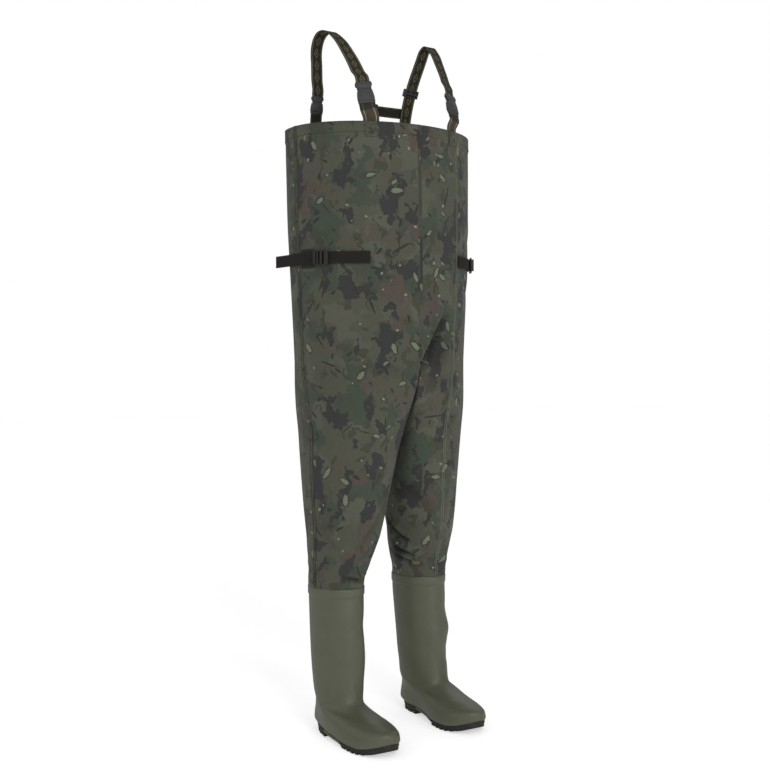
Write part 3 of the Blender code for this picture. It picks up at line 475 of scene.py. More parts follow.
class Nodes:
    """The shader nodes of one tree, built up by short calls that each return an output."""

    def __init__(self, tree):
        self.tree = tree

    def node(self, kind, inputs, **settings):
        made = self.tree.nodes.new("ShaderNode" + kind)
        for key, value in settings.items():
            setattr(made, key, value)
        for key, value in inputs.items():
            if isinstance(value, bpy.types.NodeSocket):
                self.tree.links.new(value, made.inputs[key])
            else:
                made.inputs[key].default_value = value
        return made

    def flat(self, name):
        return self.node("UVMap", {}, uv_map=name).outputs["UV"]

    def place(self):
        return self.node("TexCoord", {}).outputs["Object"]

    def moved(self, vector, shift=(0, 0, 0), stretch=(1, 1, 1), turn=0.0):
        inputs = {"Vector": vector, "Location": shift, "Scale": stretch, "Rotation": (0, 0, turn)}
        return self.node("Mapping", inputs).outputs["Vector"]

    def noise(self, vector, scale, detail=2.0, roughness=0.5, distortion=0.0, flat=False):
        inputs = {"Vector": vector, "Scale": scale, "Detail": detail, "Roughness": roughness,
                  "Distortion": distortion}
        return self.node("TexNoise", inputs, noise_dimensions="2D" if flat else "3D").outputs["Fac"]

    def math(self, operation, first, second=0.0):
        return self.node("Math", {0: first, 1: second}, operation=operation).outputs[0]

    def times(self, first, second):
        return self.math("MULTIPLY", first, second)

    def line(self, value, slope, start):
        return self.math("ADD", self.times(value, slope), start)

    def opposite(self, value):
        return self.math("SUBTRACT", 1.0, value)

    def apart(self, value, middle):
        return self.math("ABSOLUTE", self.math("SUBTRACT", value, middle))

    def vector(self, operation, first, second):
        return self.node("VectorMath", {0: first, 1: second}, operation=operation).outputs[0]

    def ramp(self, value, low, high, first=0.0, last=1.0, kind="LINEAR"):
        """From first at low to last at high."""
        inputs = {"Value": value, "From Min": low, "From Max": high, "To Min": first, "To Max": last}
        return self.node("MapRange", inputs, interpolation_type=kind).outputs["Result"]

    def step(self, value, low, high):
        """0 below low, 1 above high and a soft step between."""
        return self.ramp(value, low, high, kind="SMOOTHSTEP")

    def mix(self, share, first, second):
        return self.node("Mix", {0: share, 6: first, 7: second}, data_type="RGBA").outputs[2]

    def parts(self, vector):
        return self.node("SeparateXYZ", {"Vector": vector}).outputs

    def bump(self, height, distance, strength, under=None):
        inputs = {"Height": height, "Distance": distance, "Strength": strength}
        if under is not None:
            inputs["Normal"] = under
        return self.node("Bump", inputs).outputs["Normal"]


class Look(Nodes):
    """A procedural material on one Principled shader."""

    def __init__(self, name, roughness, **values):
        self.material = bpy.data.materials.new(name)
        self.material.use_nodes = True
        super().__init__(self.material.node_tree)
        self.shader = self.tree.nodes["Principled BSDF"]
        self.shader.inputs["Roughness"].default_value = roughness
        for key, value in values.items():
            self.shader.inputs[key.replace("_", " ")].default_value = value

    def to(self, name, value):
        self.tree.links.new(value, self.shader.inputs[name])


CLOTH_UV = "cloth"
SHADE_UV = "fold_shade"
WEB_UV = "web"
SHADE_DEPTH = 0.013
SHADE_SHARE = 0.58
SHADE_TINT = colour(16, 16, 13)
WEAVE_PITCH = 0.0009
WEB_RIB_PITCH = 0.0016
WEB_LINE_SOFT = 0.02
LOZENGE_REACH = 0.36
LOZENGE_SHARE = 0.8
OLIVE = colour(68, 70, 59)
OLIVE_PALE = colour(74, 76, 65)
OLIVE_BROWN = colour(70, 68, 58)
OLIVE_DARK = colour(57, 65, 54)
EARTH = colour(71, 64, 57)
MOSS = colour(58, 59, 48)
SLATE = colour(47, 48, 47)
TWIG = colour(43, 45, 39)
LEAF = colour(98, 102, 85)
GRIT = colour(114, 117, 102)

# How the blotches' edges are made ragged: scale of a noise and how far it pushes, in metres
RAGGED_ROWS = ((38.0, 0.020), (130.0, 0.0055))

# Blotches in the order of painting: shift, scale, noise level, soft edge, stretch, turn, colour
BLOTCH_ROWS = (
    ((1.7, 4.1, 0), 8.5, 0.500, 0.050, 1.00, 0.0, OLIVE_PALE),
    ((4.4, 8.6, 0), 11.0, 0.570, 0.020, 1.00, 0.0, OLIVE_BROWN),
    ((9.2, 2.3, 0), 12.5, 0.545, 0.020, 0.80, 0.0, OLIVE_DARK),
    ((3.3, 7.7, 0), 14.0, 0.645, 0.030, 1.00, 0.0, EARTH),
    ((2.9, 1.8, 0), 30.0, 0.640, 0.008, 0.60, 0.9, MOSS),
    ((6.1, 1.4, 0), 11.5, 0.635, 0.008, 0.75, 0.5, SLATE),
    ((8.8, 5.9, 0), 24.0, 0.655, 0.008, 0.55, -0.6, SLATE),
)

# Specks in the order of painting: shift, scale, share of cells with one, half length, half width, colour
SPECK_ROWS = (
    ((2.6, 7.1, 0), 16.0, 0.30, 0.0230, 0.0026, TWIG),
    ((0.4, 0.9, 0), 27.0, 0.26, 0.0095, 0.0034, TWIG),
    ((3.8, 4.7, 0), 25.0, 0.22, 0.0120, 0.0044, MOSS),
    ((5.1, 2.9, 0), 17.0, 0.30, 0.0150, 0.0078, TWIG),
    ((5.1, 2.9, 0), 17.0, 0.30, 0.0118, 0.0052, LEAF),
    ((7.3, 6.2, 0), 38.0, 0.10, 0.0036, 0.0026, GRIT),
)


def specks(look, spot, scale, share, long, wide):
    """A mask of separate leaf-like specks, each turned its own way."""
    cells = look.node("TexVoronoi", {"Vector": spot, "Scale": scale, "Randomness": 0.9},
                      voronoi_dimensions="2D")
    chance = look.node("SeparateColor", {"Color": cells.outputs["Color"]}).outputs
    local = look.vector("SUBTRACT", spot, cells.outputs["Position"])
    angle = look.times(chance[0], 2 * math.pi)
    turned = look.node("VectorRotate", {"Vector": local, "Angle": angle}, rotation_type="Z_AXIS").outputs[0]
    ragged = look.times(look.math("SUBTRACT", look.noise(spot, 160, roughness=0.6, flat=True), 0.5), 0.9)
    x, y = look.parts(look.vector("DIVIDE", turned, (long, wide, 1.0)))[:2]
    reach = look.math("SQRT", look.math("ADD", look.times(x, x), look.times(y, y)))
    reach = look.math("ADD", look.math("DIVIDE", reach, look.line(chance[1], 0.7, 0.55)), ragged)
    inside = look.opposite(look.step(reach, 0.82, 1.06))
    return look.times(inside, look.math("LESS_THAN", chance[2], share))


def cloth_look():
    """Matt coated cloth in a generic woodland camouflage of ragged blotches, twigs and leaf specks."""
    look = Look("wader_cloth", 0.75, Specular_IOR_Level=0.16, Sheen_Weight=0.05, Sheen_Roughness=0.6)
    where = look.flat(CLOTH_UV)
    ragged = where
    for scale, reach in RAGGED_ROWS:
        push = look.node("TexNoise", {"Vector": where, "Scale": scale, "Detail": 1.0},
                         noise_dimensions="2D").outputs["Color"]
        push = look.vector("SUBTRACT", push, (0.5, 0.5, 0.5))
        ragged = look.vector("ADD", ragged, look.vector("MULTIPLY", push, (2 * reach, 2 * reach, 0)))
    paint = OLIVE
    for shift, scale, level, soft, stretch, turn, tint in BLOTCH_ROWS:
        spot = look.moved(ragged, shift, (1, stretch, 1), turn)
        cloud = look.noise(spot, scale, detail=1.5, flat=True)
        paint = look.mix(look.step(cloud, level, level + soft), paint, tint)
    for shift, scale, share, long, wide, tint in SPECK_ROWS:
        paint = look.mix(specks(look, look.moved(where, shift), scale, share, long, wide), paint, tint)
    wear = look.math("ADD", look.noise(where, 5.0, detail=4.0, roughness=0.6, flat=True),
                     look.noise(where, 75.0, roughness=0.6, flat=True))
    value = look.line(wear, 0.16, 0.84)
    faded = look.node("HueSaturation", {"Color": paint, "Value": value}).outputs["Color"]
    deep = look.parts(look.flat(SHADE_UV))["X"]
    look.to("Base Color", look.mix(look.times(deep, SHADE_SHARE), faded, SHADE_TINT))
    x, y = look.parts(where)[:2]
    warp, weft = (look.math("SINE", look.times(part, 2 * math.pi / WEAVE_PITCH)) for part in (x, y))
    soft = look.noise(where, 34.0, detail=3.0, roughness=0.55, distortion=0.6, flat=True)
    under = look.bump(soft, 0.0016, 0.55)
    look.to("Normal", look.bump(look.times(warp, weft), 0.00010, 0.5, under))
    return look.material


def boot_look():
    """Satin moulded PVC with a faint cloudiness and a fine skin."""
    look = Look("boot_pvc", 0.44, Specular_IOR_Level=0.40)
    where = look.place()
    cloud = look.noise(where, 16.0, detail=4.0, roughness=0.6)
    paint = look.mix(look.step(cloud, 0.30, 0.72), colour(75, 78, 61), colour(81, 83, 68))
    streaks = look.noise(look.moved(where, stretch=(1, 1, 0.35)), 150.0, detail=3.0, roughness=0.6)
    scuff = look.times(look.step(streaks, 0.66, 0.78), 0.35)
    look.to("Base Color", look.mix(scuff, paint, colour(87, 89, 74)))
    look.to("Roughness", look.line(cloud, 0.16, 0.36))
    under = look.bump(look.noise(where, 42.0), 0.0010, 0.35)
    look.to("Normal", look.bump(look.noise(where, 900.0), 0.00006, 0.5, under))
    return look.material


def plain_look(name, roughness, dark, pale, cloud, bump, skin=None, spread=None, gloss=None, **values):
    """A material clouded between two colours; cloud and skin are noises as scale, detail, roughness."""
    look = Look(name, roughness, **values)
    where = look.place()
    tone = look.noise(where, *cloud)
    look.to("Base Color", look.mix(look.step(tone, *spread) if spread else tone, dark, pale))
    if gloss:
        look.to("Roughness", look.line(tone, *gloss))
    look.to("Normal", look.bump(look.noise(where, *skin) if skin else tone, *bump))
    return look.material


def web_look(name, ground, line, line_low, line_high, lozenge=0.0):
    """Woven webbing: fine cross ribs, a pale line near each edge and, if asked, a row of lozenges."""
    look = Look(name, 0.85, Specular_IOR_Level=0.2)
    where = look.flat(WEB_UV)
    x, y = look.parts(where)[:2]
    far = look.math("ABSOLUTE", x)
    inside = look.step(far, line_low - WEB_LINE_SOFT, line_low + WEB_LINE_SOFT)
    outside = look.step(far, line_high - WEB_LINE_SOFT, line_high + WEB_LINE_SOFT)
    drawn = look.times(inside, look.opposite(outside))
    if lozenge:
        place = look.math("FRACT", look.math("DIVIDE", y, lozenge))
        reach = look.math("ADD", far, look.apart(place, 0.5))
        ring = look.opposite(look.step(look.apart(reach, LOZENGE_REACH), 0.035, 0.075))
        dot = look.opposite(look.step(reach, 0.08, 0.13))
        drawn = look.math("MAXIMUM", drawn, look.times(look.math("MAXIMUM", ring, dot), LOZENGE_SHARE))
    zigzag = look.apart(look.math("FRACT", look.times(x, 4.0)), 0.5)
    across = look.math("ADD", y, look.times(zigzag, 0.002))
    rib = look.math("SINE", look.times(across, 2 * math.pi / WEB_RIB_PITCH))
    cloud = look.noise(look.moved(where, stretch=(0.016, 1, 1)), 90.0, detail=3.0, roughness=0.6, flat=True)
    paint = look.mix(look.step(rib, -0.9, 0.9), darker(ground, 0.72), ground)
    paint = look.mix(look.times(cloud, 0.10), paint, line)
    pale = look.mix(look.step(rib, -0.9, 0.6), darker(line, 0.6), line)
    look.to("Base Color", look.mix(drawn, paint, pale))
    look.to("Normal", look.bump(rib, 0.00030, 0.7))
    return look.material


def clip_look(name, dark, pale):
    return plain_look(name, 0.46, dark, pale, (120.0, 3.0, 0.6), (0.00005, 0.5), skin=(2600.0, 2.0, 0.5),
                      gloss=(0.16, 0.38), Specular_IOR_Level=0.40)


def thread_look(name, dark, pale):
    return plain_look(name, 0.85, dark, pale, (800.0, 2.0, 0.5), (0.0002, 0.6), Specular_IOR_Level=0.2)


CLOTH = cloth_look()
BOOT_PVC = boot_look()
SOLE_RUBBER = plain_look("sole_rubber", 0.62, colour(28, 26, 23), colour(41, 38, 33), (60.0, 4.0, 0.6),
                         (0.00012, 0.6), skin=(700.0, 3.0, 0.6), spread=(0.35, 0.75), gloss=(0.25, 0.5),
                         Specular_IOR_Level=0.4)
INSOLE_FELT = plain_look("insole_felt", 0.95, colour(84, 84, 80), colour(112, 112, 106), (500.0, 5.0, 0.7),
                         (0.0004, 0.8), Sheen_Weight=0.2)
STRAP_WEB = web_look("strap_webbing", colour(36, 35, 29), colour(126, 120, 92), 0.76, 0.86, 0.030)
BAND_WEB = web_look("band_webbing", colour(34, 33, 29), colour(92, 88, 66), 0.76, 0.86)
TAB_WEB = web_look("tab_webbing", colour(62, 54, 47), colour(148, 138, 116), 0.58, 0.68)
FOLD_WEB = web_look("fold_webbing", colour(47, 45, 39), colour(78, 74, 60), 0.50, 0.62)
WAIST_WEB = web_look("waist_webbing", colour(34, 31, 27), colour(42, 38, 33), 0.80, 0.90)
PATCH_WEB = web_look("patch_webbing", colour(44, 41, 33), colour(52, 48, 40), 0.86, 0.96)
CLIP_PLASTIC = clip_look("clip_plastic", colour(44, 44, 45), colour(55, 55, 56))
SLIDER_PLASTIC = clip_look("slider_plastic", colour(27, 27, 26), colour(37, 36, 35))
THREAD = thread_look("thread", colour(44, 46, 38), colour(66, 66, 54))
SEAM_SHADE = thread_look("seam_shade", colour(36, 38, 32), colour(46, 47, 40))
SEAM_PALE = thread_look("seam_pale", colour(66, 68, 56), colour(112, 114, 98))


# Making pieces


def piece(name, points, faces, look, stands_for=(), uv=None, uv_name=None, sharp=None):
    """One mesh that rides with the waders, its faces turned outwards."""
    mesh = bpy.data.meshes.new(name)
    mesh.from_pydata(np.asarray(points, float).tolist(), [], [tuple(map(int, face)) for face in faces])
    if uv is not None:
        layer = mesh.uv_layers.new(name=uv_name)
        layer.data.foreach_set("uv", np.asarray(uv, np.float32).ravel())
    work = bmesh.new()
    work.from_mesh(mesh)
    bmesh.ops.recalc_face_normals(work, faces=work.faces)
    if work.calc_volume(signed=True) < 0:
        bmesh.ops.reverse_faces(work, faces=work.faces)
    work.to_mesh(mesh)
    work.free()
    return finished(name, mesh, look, stands_for, sharp)


def finished(name, mesh, look, stands_for=(), sharp=None):
    """A mesh as an object with its material and the solids it stands for."""
    mesh.materials.clear()
    mesh.materials.append(look)
    mesh.shade_smooth()
    if sharp is not None:
        mesh.set_sharp_from_angle(angle=math.radians(sharp))
    made = bpy.data.objects.new(name, mesh)
    bpy.context.scene.collection.objects.link(made)
    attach(made, "root")
    if stands_for:
        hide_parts(*stands_for)
    return made


def loop_band(low, high):
    """Quads between two closed loops of point numbers."""
    low = np.asarray(low)
    high = np.asarray(high)
    return np.stack([low, np.roll(low, -1), np.roll(high, -1), high], axis=1)


def grid_faces(numbers):
    """Quads over rows of closed loops of point numbers."""
    return [quad for low, high in zip(numbers, numbers[1:]) for quad in loop_band(low, high)]


def tube_faces(rows, count):
    """Quads over rows of closed sections of count points each, with both ends closed."""
    numbers = np.arange(rows * count).reshape(rows, count)
    return grid_faces(numbers) + [numbers[0][::-1], numbers[-1]]


# The cloth body


def bib_xy(angles, z, side, inset):
    """Plan of the bib at height z, angles running from the front centre to the back centre."""
    turn = np.radians(angles)
    half_width, front, back = (BIB.at(name, z) - inset for name in ("half_width", "front", "back"))
    power = 2 / np.where(np.cos(turn) > 0, 2.0, BIB.at("back_power", z))
    depth = np.where(np.cos(turn) > 0, front, back)
    across = half_width * np.abs(np.sin(turn)) ** power
    return side * across, BODY_Y - depth * np.sign(np.cos(turn)) * np.abs(np.cos(turn)) ** power


def leg_xy(angles, z, side):
    """Plan of one leg at height z, angle 0 at its front and 90 at its outer side."""
    value = {name: LEG.at(name, z) for name in LEG.names[1:]}
    phase = np.radians(angles + value["turn"])
    fore = value["fore_half"] * np.cos(phase)
    across = value["across_half"] * np.sin(phase)
    turn = np.radians(value["turn"])
    outward = value["centre_x"] + across * np.cos(turn) - fore * np.sin(turn)
    forward = fore * np.cos(turn) + across * np.sin(turn)
    clear = outward - value["gap"]
    outward = value["gap"] + 0.5 * (clear + np.sqrt(clear ** 2 + FOLD_SOFTNESS ** 2))
    stagger = STAGGER * np.clip((STAGGER_TOP - z) / (STAGGER_TOP - STAGGER_FOOT), 0, 1)
    return side * outward, BODY_Y + value["centre_y"] - forward + side * stagger


class Cloth:
    """The outer face of the cloth: points, and rings of point numbers down each side."""

    def __init__(self):
        self.half = np.linspace(0, 180, HALF_STEPS + 1)
        self.last = HALF_STEPS
        self.seam = int(np.argmin(np.abs(self.half - SEAM_ANGLE)))
        self.half[self.seam] = SEAM_ANGLE
        self.inseam = self.last + 1 + CROTCH_STEPS // 2
        self.points = []
        self.turns = []
        self.sides = []
        self.rings = {LEFT: [], RIGHT: []}
        self.bib()
        self.legs()
        self.points = np.array(self.points)
        self.turns = np.array(self.turns)
        self.sides = np.array(self.sides)

    def add(self, x, y, z, turns, side):
        start = len(self.points)
        self.points.extend(zip(x, y, z))
        self.turns.extend(turns)
        self.sides.extend([side] * len(turns))
        return list(range(start, len(self.points)))

    def bib(self):
        half = self.half
        rim = RIM_FRONT + (RIM_BACK - RIM_FRONT) * half / 180
        split = CROTCH_FRONT + (CROTCH_BACK - CROTCH_FRONT) * half / 180
        tall = RIM_FRONT - CROTCH_FRONT
        hem = (HEM_HEIGHT + HEM_EDGE * np.array(HEM_SHARES)) / tall
        shares = np.unique(np.concatenate([np.linspace(0, 1, BIB_STEPS), hem]))
        for share in shares:
            z = rim + (split - rim) * share
            grow = -HEM_STEP * (1 - ease((rim - z - HEM_HEIGHT) / HEM_EDGE))
            x, y = bib_xy(half, z, LEFT, grow)
            left = self.add(x, y, z, half, LEFT)
            inner = slice(1, -1)
            x, y = bib_xy(half[inner], z[inner], RIGHT, grow[inner])
            right = self.add(x, y, z[inner], half[inner], RIGHT)
            self.sides[left[0]] = 0
            self.sides[left[-1]] = 0
            self.rings[LEFT].append(left)
            self.rings[RIGHT].append([left[0]] + right + [left[-1]])
        self.rim = self.rings[LEFT][0] + self.rings[RIGHT][0][-2:0:-1]

    def legs(self):
        part = np.arange(1, CROTCH_STEPS + 1) / (CROTCH_STEPS + 1)
        ring = self.rings[LEFT][-1]
        back = np.array(self.points[ring[-1]])
        front = np.array(self.points[ring[0]])
        line = back + (front - back) * part[:, None]
        line[:, 2] -= CROTCH_DIP * np.sin(np.pi * part) ** CROTCH_POWER
        crotch_turns = 180 + (FULL_TURN - 180) * part
        crotch = self.add(line[:, 0], line[:, 1], line[:, 2], crotch_turns, 0)
        turns = np.concatenate([self.half, crotch_turns])
        angles = LEG_START_ANGLE + LEG_SWEEP * turns / 180
        tucked = TUCK_Z + np.array(TUCK_STEPS)
        thigh = np.arange(LEG_JOIN - THIGH_STEP, CALF_TOP, -THIGH_STEP)
        calf = np.arange(CALF_TOP, tucked[0] + CALF_STEP / 2, -CALF_STEP)
        levels = np.concatenate([thigh, calf, tucked])
        self.ends = []
        for side in (LEFT, RIGHT):
            loop = self.rings[side][-1] + crotch
            start = np.array([self.points[i] for i in loop])
            self.rings[side][-1] = loop
            for share in np.linspace(0, 1, BLEND_STEPS + 1)[1:]:
                z = start[:, 2] + (LEG_JOIN - start[:, 2]) * share
                x, y = leg_xy(angles, z, side)
                blend = ease(share)
                x = start[:, 0] + (x - start[:, 0]) * blend
                y = start[:, 1] + (y - start[:, 1]) * blend
                self.rings[side].append(self.add(x, y, z, turns, side))
            for level in levels:
                z = np.full(len(turns), level)
                x, y = leg_xy(angles, z, side)
                self.rings[side].append(self.add(x, y, z, turns, side))
            self.ends.append(self.rings[side][-1])

    def ring_lengths(self, ring):
        """Length along a ring from the middle of the front panel and from the middle of the back panel."""
        spots = self.points[ring]
        step = np.linalg.norm(np.roll(spots, -1, axis=0) - spots, axis=1)
        length = np.concatenate([[0], np.cumsum(step[:-1])])
        front = length - length[self.seam // 2]
        front[self.last + 1:] -= length[-1] + step[-1]
        back = length - length[(self.seam + self.last) // 2]
        return front, back

    def quads(self):
        """Faces with the flat place of each corner on its panel of cloth."""
        faces = []
        places = []
        for side in (LEFT, RIGHT):
            for low, high in zip(self.rings[side], self.rings[side][1:]):
                count = min(len(low), len(high))
                closed = count > self.last + 1
                first = np.arange(count if closed else count - 1)
                second = (first + 1) % count
                is_front = (second <= self.seam) & (second > 0) | (first >= self.inseam)
                length_low = self.ring_lengths(low)
                length_high = self.ring_lengths(high)
                low = np.array(low)
                high = np.array(high)
                corners = ((low, length_low, first), (low, length_low, second),
                           (high, length_high, second), (high, length_high, first))[::side]
                faces.append(np.stack([ids[pick] for ids, length, pick in corners], axis=1))
                flat = []
                for ids, length, pick in corners:
                    u = np.where(is_front, length[0][pick], -length[1][pick]) * side
                    u = u + np.where(is_front, FRONT_PRINT, BACK_PRINT) + LEFT_PRINT * (side == LEFT)
                    flat.append(np.stack([u, self.points[ids[pick], 2]], axis=1))
                places.append(np.stack(flat, axis=1))
        return np.concatenate(faces), np.concatenate(places)

    def normals(self, faces):
        p = self.points[faces]
        face_normal = np.cross(p[:, 2] - p[:, 0], p[:, 3] - p[:, 1])
        total = np.zeros_like(self.points)
        for corner in range(4):
            np.add.at(total, faces[:, corner], face_normal)
        total = unit(total + TINY ** 2)
        probe = self.rings[LEFT][PROBE_RING][self.seam]
        outward = self.points[probe] - (0, BODY_Y, self.points[probe, 2])
        return total if total[probe] @ outward > 0 else -total

    def spot(self, side, turn, z):
        """A smooth point of the outer face near a turn and height on one side."""
        mine = np.flatnonzero((self.sides == side) | (self.sides == 0))
        away = (self.turns[mine] - turn + FULL_TURN / 2) % FULL_TURN - FULL_TURN / 2
        far = (away * TURN_LENGTH) ** 2 + (self.points[mine, 2] - z) ** 2
        near = np.argpartition(far, SPOT_COUNT)[:SPOT_COUNT]
        weight = 1 / (far[near] + SPOT_SOFT)
        return (self.points[mine[near]] * weight[:, None]).sum(axis=0) / weight.sum()

    def crease(self, row, normals):
        """How far one crease moves each point along its normal: a trough with a lip above it."""
        value = dict(zip(CREASE_COLUMNS, row))
        steps = np.linspace(0, 1, CREASE_STEPS)
        turns = value["turn_1"] + (value["turn_2"] - value["turn_1"]) * steps
        heights = value["z_1"] + (value["z_2"] - value["z_1"]) * steps
        heights += 4 * value["bow"] * steps * (1 - steps)
        path = np.array([self.spot(value["side"], turn, z) for turn, z in zip(turns, heights)])
        way = unit(np.gradient(path, axis=0))
        mine = np.flatnonzero((self.sides == value["side"]) | (self.sides == 0))
        gaps = self.points[mine][:, None, :] - path[None]
        nearest = np.argmin((gaps ** 2).sum(axis=2), axis=1)
        gap = gaps[np.arange(len(mine)), nearest]
        lengthwise = (gap * way[nearest]).sum(axis=1)
        cross = np.cross(way[nearest], normals[mine])
        cross *= np.sign(cross[:, 2:3] + TINY)
        signed = (gap * cross).sum(axis=1)
        beyond = np.where((nearest == 0) | (nearest == len(steps) - 1), np.abs(lengthwise), 0)
        width = value["width"]
        fade = np.sin(np.pi * np.clip(steps, *FADE_ENDS)) ** FADE_POWER
        trough = -np.exp(-(signed / width) ** 2)
        lip = value["lip"] * np.exp(-((signed - LIP_OFFSET * width) / (LIP_WIDTH * width)) ** 2)
        near = np.exp(-(np.linalg.norm(gap, axis=1) / (CREASE_REACH * width)) ** 4)
        near *= np.exp(-(beyond / width) ** 2)
        moved = np.zeros(len(self.points))
        moved[mine] = value["depth"] * (trough + lip) * fade[nearest] * near
        return moved


def cloth_body():
    """The creased cloth as one shell, its outer face and the ways out of it."""
    cloth = Cloth()
    faces, places = cloth.quads()
    normals = cloth.normals(faces)
    moved = sum(cloth.crease(row, normals) for row in CREASE_ROWS)
    moved *= ease((cloth.points[:, 2] - TUCK_Z) / TUCK_FADE)
    cloth.points = cloth.points + normals * moved[:, None]
    normals = cloth.normals(faces)
    inside = cloth.points - normals * CLOTH_WALL
    count = len(cloth.points)
    all_faces = [faces, faces[:, ::-1] + count]
    all_places = [places, places[:, ::-1]]
    for ring in [cloth.rim] + cloth.ends:
        band = loop_band(ring, np.array(ring) + count)
        all_faces.append(band)
        flat = np.stack([np.arange(len(band)) * RIM_PRINT_STEP, np.full(len(band), RIM_PRINT)], axis=1)
        all_places.append(np.repeat(flat[:, None, :], 4, axis=1))
    points = np.concatenate([cloth.points, inside])
    made = piece("wader_shell", points, np.concatenate(all_faces), CLOTH, ["wader_body"],
                 np.concatenate(all_places), CLOTH_UV)
    corners = np.empty(len(made.data.loops), np.int32)
    made.data.loops.foreach_get("vertex_index", corners)
    shade = np.clip(-moved / SHADE_DEPTH, 0, 1)[corners % count]
    layer = made.data.uv_layers.new(name=SHADE_UV, do_init=False)
    layer.data.foreach_set("uv", np.stack([shade, np.zeros_like(shade)], axis=1).astype(np.float32).ravel())
    return cloth, normals


# Bands, seams and stitches

BAND_SHARP = 50
WEB_EDGE = 0.0010
WEB_EDGE_SHARE = 0.3
WEB_EDGE_IN = 0.35
WEB_EDGE_UP = 0.72
STITCH_PITCH = 0.0044
STITCH_LONG = 0.0030
STITCH_WIDE = 0.0008
STITCH_HIGH = 0.4
STITCH_PLACES = np.array((-0.5, -0.2, 0.2, 0.5))
STITCH_LIFTS = (-0.0002, 0.00045, 0.00045, -0.0002)
STITCH_FACES = np.array(tube_faces(4, 4))
STITCH_LIFT = 0.0003
BOX_TURN = 4.2
BOX_DROPS = (0.008, 0.036)
BOX_LINES = ((0, 1), (1, 2), (2, 3), (3, 0), (0, 2), (1, 3))
BOX_STEPS = 8
BOX_LIFT = HEM_STEP + 0.0004
HEM_STITCH_DROP = 0.026
HEM_STITCH_LIFT = 0.0002
LINE_THICK = 0.0007
SIDE_SEAM_WIDE = 0.0105
SIDE_SEAM_THICK = 0.0016
SIDE_SEAM_LIFT = 0.0003
SIDE_LINES = (-0.0036, 0.0036)
SIDE_LINE_WIDE = 0.0016
SIDE_LINE_LIFT = 0.0010
SEAM_END = 0.003
RIDGE_LINES = (-0.0030, 0.0030)
RIDGE_WIDE = 0.0022
RIDGE_LIFT = 0.0003
CENTRE_WIDE = 0.0075
CENTRE_THICK = 0.0009
CENTRE_LIFT = 0.0001
CENTRE_LINE = 0.0022
CENTRE_LINE_WIDE = 0.0009
CENTRE_LINE_LIFT = 0.0004
CENTRE_STITCH_LIFT = 0.0006

# Where the seams lie on the flat print: scale across, then shift
SIDE_PRINT = {RIGHT: (0.005, 14.0, 0.4), LEFT: (0.005, 20.0, 0.4)}
CENTRE_PRINT = (0.004, 29.0, 0.7)


def ribbon_mesh(path, across, width, thick):
    """Points, faces and flat places of a band with soft edges; across is the direction of its width."""
    path = np.asarray(path, float)
    way = unit(np.gradient(path, axis=0))
    across = np.broadcast_to(np.asarray(across, float), path.shape)
    across = unit(across - way * np.sum(across * way, axis=1, keepdims=True))
    out = np.cross(way, across)
    half = width / 2
    edge = min(WEB_EDGE, half * WEB_EDGE_SHARE) / half
    one_side = [(0, 1.0), (0.5, 1.0), (1 - edge, 1.0), (1 - edge * WEB_EDGE_IN, WEB_EDGE_UP), (1, 0.0)]
    upper = [(-x, y) for x, y in one_side[:0:-1]] + one_side
    section = np.array(upper + [(x, -y) for x, y in upper[-2:0:-1]])
    x = section[:, :1] * half
    y = section[:, 1:] * thick / 2
    points = path[:, None] + across[:, None] * x + out[:, None] * y
    faces = tube_faces(*points.shape[:2])
    flat = np.stack(np.broadcast_arrays(section[:, 0], lengths(path)[:, None]), axis=2).reshape(-1, 2)
    return points.reshape(-1, 3), faces, np.concatenate([flat[np.asarray(face)] for face in faces])


def ribbon(name, path, across, width, look, stands_for=(), thick=WEB_THICK):
    """A band of webbing."""
    points, faces, uv = ribbon_mesh(path, across, width, thick)
    piece(name, points, faces, look, stands_for, uv, WEB_UV, sharp=BAND_SHARP)


def seam_band(name, path, across, width, thick, flat):
    """A raised felled seam in the cloth's print."""
    points, faces, uv = ribbon_mesh(path, across, width, thick)
    uv = uv * (flat[0], 1) + flat[1:]
    piece(name, points, faces, CLOTH, (), uv, CLOTH_UV, sharp=BAND_SHARP)


def seam_line(name, path, across, width, look=SEAM_SHADE):
    """The thin line of a pressed seam edge."""
    points, faces = ribbon_mesh(path, across, width, LINE_THICK)[:2]
    piece(name, points, faces, look, sharp=BAND_SHARP)


def stitches(name, runs):
    """One piece of many stitches; each run is a path and the way off the cloth at its points."""
    points = []
    faces = []
    for path, out in runs:
        path = np.asarray(path, float)
        out = np.asarray(out, float)
        length = lengths(path)
        for middle in np.arange(STITCH_PITCH / 2, length[-1] - STITCH_PITCH / 2, STITCH_PITCH):
            at = np.clip(middle + STITCH_PLACES * STITCH_LONG, 0, length[-1])
            spots = at_length(at, length, path)
            aways = unit(at_length(at, length, out))
            way = unit(spots[-1] - spots[0])
            faces.extend(STITCH_FACES + len(points))
            for spot, away, lift in zip(spots, aways, STITCH_LIFTS):
                wide = np.cross(way, away) * STITCH_WIDE / 2
                high = away * STITCH_WIDE * STITCH_HIGH
                base = spot + away * lift
                points.extend([base + wide, base + high, base - wide, base - high])
    piece(name, points, faces, THREAD)


def box_stitch(side):
    """Runs of stitches in a crossed box where a front tab is sewn behind the hem."""
    left = FRONT_TAB_ANGLE - BOX_TURN
    right = FRONT_TAB_ANGLE + BOX_TURN
    high, low = (RIM_FRONT - drop for drop in BOX_DROPS)
    corners = np.array(((left, high), (right, high), (right, low), (left, low)))
    runs = []
    for first, second in BOX_LINES:
        steps = np.linspace(0, 1, BOX_STEPS)[:, None]
        line = corners[first] * (1 - steps) + corners[second] * steps
        spots = [bib_spot(turn, z, side, BOX_LIFT) for turn, z in line]
        runs.append(([spot for spot, way, out in spots], [out for spot, way, out in spots]))
    return runs


